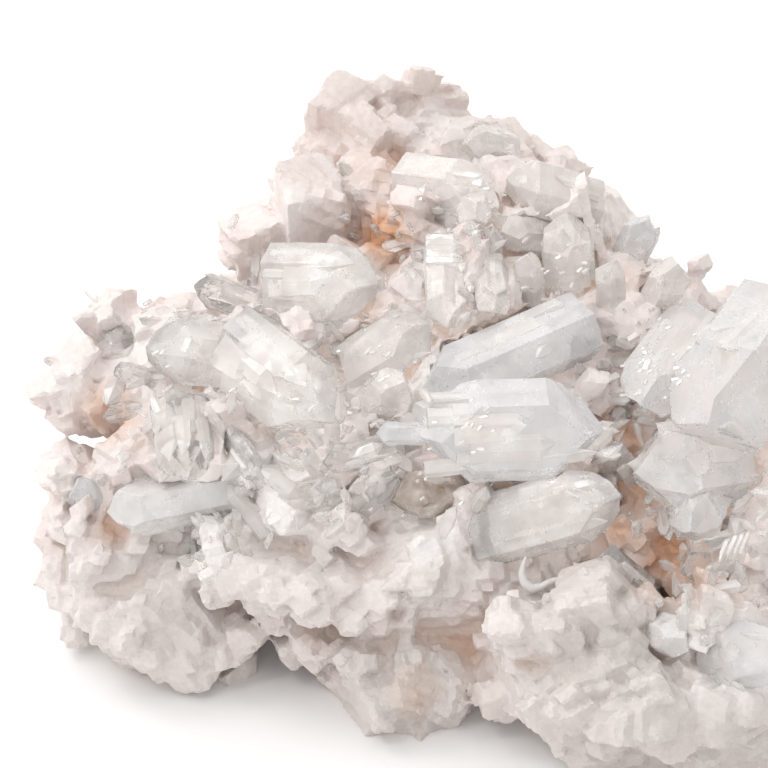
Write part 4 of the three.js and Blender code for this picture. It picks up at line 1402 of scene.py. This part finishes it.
def quartz_finish(key, clear, veil, transmission, polish, frost, tilt):
    """Quartz: plain transmission and index, the quartz group's veils and frost, and ribs by the face map."""
    material, shader, body = new_finish(f"quartz_{key}_body", quartz_group, QUARTZ_INDEX)
    shader.inputs["Transmission Weight"].default_value = transmission
    settings = {"Clear": clear, "Veil": veil, "Polish": polish, "Frost": frost, "Tilt": tilt}
    for socket_name, value in settings.items():
        body.inputs[socket_name].default_value = value
    if key not in WITHOUT_RIBS:
        tree = material.node_tree
        face = add_node(tree, "UVMap", {"uv_map": "face"}).outputs["UV"]
        ribs = add_node(tree, "Mapping", None, Vector=face, Scale=RIBS_TO_A_MM).outputs[0]
        relief = {"Height": noise_node(tree, ribs, 1.0, 1.0), "Normal": body.outputs["Normal"]}
        ribbed = add_node(tree, "Bump", None, Strength=0.4, Distance=RIB_RELIEF * MM, **relief)
        tree.links.new(ribbed.outputs[0], shader.inputs["Normal"])
    return material


quartz_finishes = {key: quartz_finish(key, *numbers) for key, numbers in QUARTZ_BODIES.items()}
print("quartz finishes:", list(quartz_finishes))

# %% Which crystal has which finish
CLEAR_NODES = (
    "left_point rim_point sliver_a sliver_b low_left stub upright drop columns_b columns_c "
    "sheaf_a sheaf_b sheaf_c wing window right_point hidden_b cracked_a"
).split()
MILKY_NODES = (
    "grey low_right low_right_b ridge_blue ridge_round end_mid end_low back_high back_right"
).split()
OWN_FINISHES = {
    "speckled": "brown",
    "cool": "main low_left ridge_blue",
    # Painted light: the long crystals lie in shade and get the paler long body
    "long": "long_left low_right_b",
    "pale": "low_right",
    "warm_clear": "cracked_a upright drop",
    "warm": "upper_broad ridge_slab block columns_a columns_b columns_c ridge_round ridge_brown",
}
own_finish = {node: key for key, nodes in OWN_FINISHES.items() for node in nodes.split()}


def slot_of(node_name):
    """The record's material slot of a quartz node."""
    short = node_name.removeprefix("quartz_")
    if short in CLEAR_NODES:
        return "quartz_clear"
    return "quartz_milky" if short in MILKY_NODES else "quartz_cloudy"


for node_name, piece in large_quartz.items():
    usual = slot_of(node_name).removeprefix("quartz_")
    key = own_finish.get(node_name.removeprefix("quartz_"), usual)
    piece.data.materials.append(quartz_finishes[key])
    piece.visible_shadow = False
for piece in (side_quartz, small_points):
    piece.data.materials.append(quartz_finishes["small"])
    piece.visible_shadow = False
print("crystals with a finish of their own:", len(own_finish), "of", len(large_quartz))

# %% [markdown]
# ## The floor's finish
# A sheet of matt white paper. One plain colour would do, but it looks drawn, so a faint noise
# changes the white a little from place to place.

# %% Floor finish
PAPER = rgb(0.94, 0.94, 0.94), rgb(0.96, 0.96, 0.96)
floor_finish = bpy.data.materials.new("floor_paper")
floor_finish.use_nodes = True
floor_tree = floor_finish.node_tree
floor_shader = floor_tree.nodes["Principled BSDF"]
paper = noise_node(floor_tree, add_node(floor_tree, "TexCoord").outputs["Object"], 30.0)
floor_tree.links.new(mix_colour(floor_tree, paper, *PAPER), floor_shader.inputs["Base Color"])
floor_shader.inputs["Roughness"].default_value = 0.9
floor.data.materials.append(floor_finish)
print("floor finish nodes:", len(floor_tree.nodes))

# %% [markdown]
# ## Which piece stands for which solid
# The specimen has no joints, so every piece rides on its one body. The dressed pieces take the
# place of the CAD solids, which stay behind, hidden.

# %% Ride and replace
BODY = next(iter(frame["bodies"]))
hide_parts("dolomite")
for node_name, piece in large_quartz.items():
    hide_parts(node_name)
for piece in (dolomite_skin, *large_quartz.values(), side_quartz, small_points):
    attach(piece, BODY)
print("rides on:", BODY)

# %% [markdown]
# ## Faces that flash
# A few quartz faces on the display side lie just so that they mirror a lamp to the eye. Chance
# would turn hardly any of the small crystals there. A face mirrors the lamp when its normal
# halves the angle between the eye and the lamp, so each little crystal here is turned to that.
# It sits on whatever the eye meets first at its place.

# %% Flashing faces: across and up on the display side, width, length and turn
FLASHES = [
    (7.4, 18.2, 1.4, 4.2, 90),
    (7.5, 17.5, 1.4, 4.4, 90),
    (7.4, 16.8, 1.4, 4.2, 91),
    (7.5, 16.1, 1.4, 4.3, 89),
    (7.4, 15.4, 1.4, 4.1, 90),
    (9.9, 14.6, 1.8, 1.8, 40),
    (23.6, -0.9, 1.5, 1.5, 30),
    (-2.2, -8.4, 2.0, 4.4, 70),
    (42.4, -20.8, 0.9, 3.6, 20),
    (43.3, -20.6, 0.9, 4.2, 22),
    (44.2, -20.2, 0.9, 4.0, 21),
    (45.1, -19.8, 0.8, 3.2, 20),
    (-21.6, -23.6, 2.0, 3.2, 60),
    (5.5, -1.8, 1.0, 2.6, 140),
    (-24.5, 5.0, 1.4, 2.4, 20),
    (31.5, 6.0, 1.2, 2.2, 60),
    (33.0, 2.6, 1.2, 2.0, 20),
    (4.8, 24.0, 1.4, 2.4, 15),
    (-28.4, -3.0, 1.2, 2.8, 155),
    (12.0, 25.0, 1.4, 1.8, 100),
]


def met_by_eye(across_up):
    """Where the eye's rays through display-side places end, and whether on the specimen."""
    seen = bpy.context.evaluated_depsgraph_get()
    eye = camera.location
    met, on_specimen = [], []
    for aim in from_display(np.column_stack([across_up, np.zeros(len(across_up))])):
        towards = (Vector(aim * MM) - eye).normalized()
        hit, place, _, _, piece, _ = bpy.context.scene.ray_cast(seen, eye, towards)
        met.append(place[:])
        on_specimen.append(hit and piece.name != floor.name)
    return np.array(met) / MM, np.array(on_specimen)


print("flashing faces:", len(FLASHES))

# %% Sparkles: middle across and up, spread and count
SPARKLE_ZONES = [
    ((11.5, -4.5), 2.6, 16),
    ((34.0, 3.0), 4.0, 26),
    ((13.0, 22.0), 2.4, 8),
    ((22.5, 14.5), 3.6, 14),
    ((0.0, 3.0), 3.6, 12),
    ((-27.0, 7.0), 3.0, 8),
    ((-14.0, -3.0), 6.0, 10),
    ((4.0, -10.0), 5.0, 10),
]
SPARKLE_WIDTHS, SPARKLE_LENGTHS = (0.3, 0.7), (0.6, 1.4)
SPARKLE_TURN, TURN_SPREAD = 60, 15
EDGES_WORN = 0.08
flash_rng = np.random.default_rng(23)


def sparkles_about(middle, reach, count):
    """Small flashes strewn about a place, in rows like those of the table."""
    place = flash_rng.normal(middle, reach / 1.5, (count, 2))
    width, length = flash_rng.uniform(*SPARKLE_WIDTHS, count), flash_rng.uniform(*SPARKLE_LENGTHS, count)
    return np.column_stack([place, width, length, flash_rng.normal(SPARKLE_TURN, TURN_SPREAD, count)])


every_flash = np.concatenate([np.array(FLASHES, float)] + [sparkles_about(*zone) for zone in SPARKLE_ZONES])
flash_place, on_specimen = met_by_eye(every_flash[:, :2])
flash_place, every_flash = flash_place[on_specimen], every_flash[on_specimen]
flash_width, flash_length = every_flash[:, 2], every_flash[:, 3]
flash_turn = np.radians(every_flash[:, 4:])
to_eye = DISPLAY_MIDDLE + EYE_DISTANCE * OUT - flash_place
to_lamp = np.array(SPARK_LAMP) / MM - flash_place
halfway = unit(unit(to_eye) + unit(to_lamp))
flash_up = unit(np.cross(np.cross(halfway, ACROSS_UP_OUT[1]), halfway))
flash_axis = np.cos(flash_turn) * flash_up + np.sin(flash_turn) * np.cross(flash_up, halfway)
flashing = prism_piece(
    "quartz_flashing_faces", flash_place - flash_axis * 0.5 * flash_length[:, None],
    flash_axis, flash_width, flash_length, flash_rng,
    thin_way=np.cross(flash_axis, halfway), uneven=EDGES_WORN,
)
print(size_of(flashing))

# %% [markdown]
# ## The white lip
# On the right, a hollow in the stone is rimmed by a curved lip of white quartz, like the edge
# of a shell. A curve with a bevel would make a bar, but its thickness changes along the lip. So
# it is built from circles of changing radius, bent along a short path on the stone.

# %% Lip: across and up on the display side, and the bar's radius
LIP_PATH = [
    (17.8, -21.4, 0.12),
    (17.4, -22.6, 0.35),
    (17.2, -23.8, 0.5),
    (17.6, -24.9, 0.62),
    (18.5, -25.6, 0.66),
    (19.6, -25.4, 0.55),
    (20.8, -24.7, 0.45),
    (21.9, -24.4, 0.36),
    (23.2, -24.2, 0.24),
    (24.6, -23.9, 0.1),
]
LIP_STEPS = 48
LIP_SIDES = 10
LIP_STANDS = 1.2


def bent_bar(name, path, radii, sides):
    """A round bar: circles of each radius about the path's points, square to the path, and two caps."""
    along = unit(np.gradient(path, axis=0))
    out = unit(np.cross(along, np.cross(OUT, along)))
    angle = np.linspace(0, 2 * np.pi, sides, endpoint=False)[:, None]
    circle = np.cos(angle) * out[:, None] + np.sin(angle) * np.cross(along, out)[:, None]
    rings = path[:, None] + radii[:, None, None] * circle
    points = np.concatenate([rings.reshape(-1, 3), path[:1], path[-1:]])
    steps, around = np.meshgrid(np.arange(len(path) - 1), np.arange(sides), indexing="ij")
    low, after = steps * sides + around, steps * sides + (around + 1) % sides
    near_half = np.stack([low, after, after + sides], 2).reshape(-1, 3)
    far_half = np.stack([low, after + sides, low + sides], 2).reshape(-1, 3)
    turn, first, last = np.arange(sides), len(points) - 2, (len(path) - 1) * sides
    root_cap = np.stack([(turn + 1) % sides, turn, np.full(sides, first)], 1)
    end_cap = np.stack([last + turn, last + (turn + 1) % sides, np.full(sides, first + 1)], 1)
    return mesh_piece(name, points, np.concatenate([near_half, far_half, root_cap, end_cap]), smooth=True)


lip_places = np.array(LIP_PATH)
lip_met = to_display(met_by_eye(lip_places[:, :2])[0])
lip_met[:, 2] = np.median(lip_met[:, 2]) + LIP_STANDS
lip_met[:, :2] = lip_places[:, :2] * (1 - lip_met[:, 2:] / EYE_DISTANCE)
knots, fine = np.arange(len(lip_places)), np.linspace(0, len(lip_places) - 1, LIP_STEPS)
lip_line = np.stack([np.interp(fine, knots, column) for column in (*lip_met.T, lip_places[:, 2])], 1)
lip_line[1:-1] = (lip_line[:-2] + lip_line[1:-1] + lip_line[2:]) / 3
lip = bent_bar("quartz_white_lip", from_display(lip_line[:, :3]), lip_line[:, 3], LIP_SIDES)
print(size_of(lip), "met at depths", lip_met[:, 2].round(1))

# %% Finish and ride of the flashing faces and the lip
for piece, key, slot in ((flashing, "small", "quartz_clear"), (lip, "lip", "quartz_milky")):
    piece.data.materials.append(quartz_finishes[key])
    piece.visible_shadow = False
    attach(piece, BODY)
print("finished:", flashing.name, lip.name)

# %% Print the CAD box
print("CAD box mm:", [[round(v / MM, 1) for v in corner] for corner in cad_box])
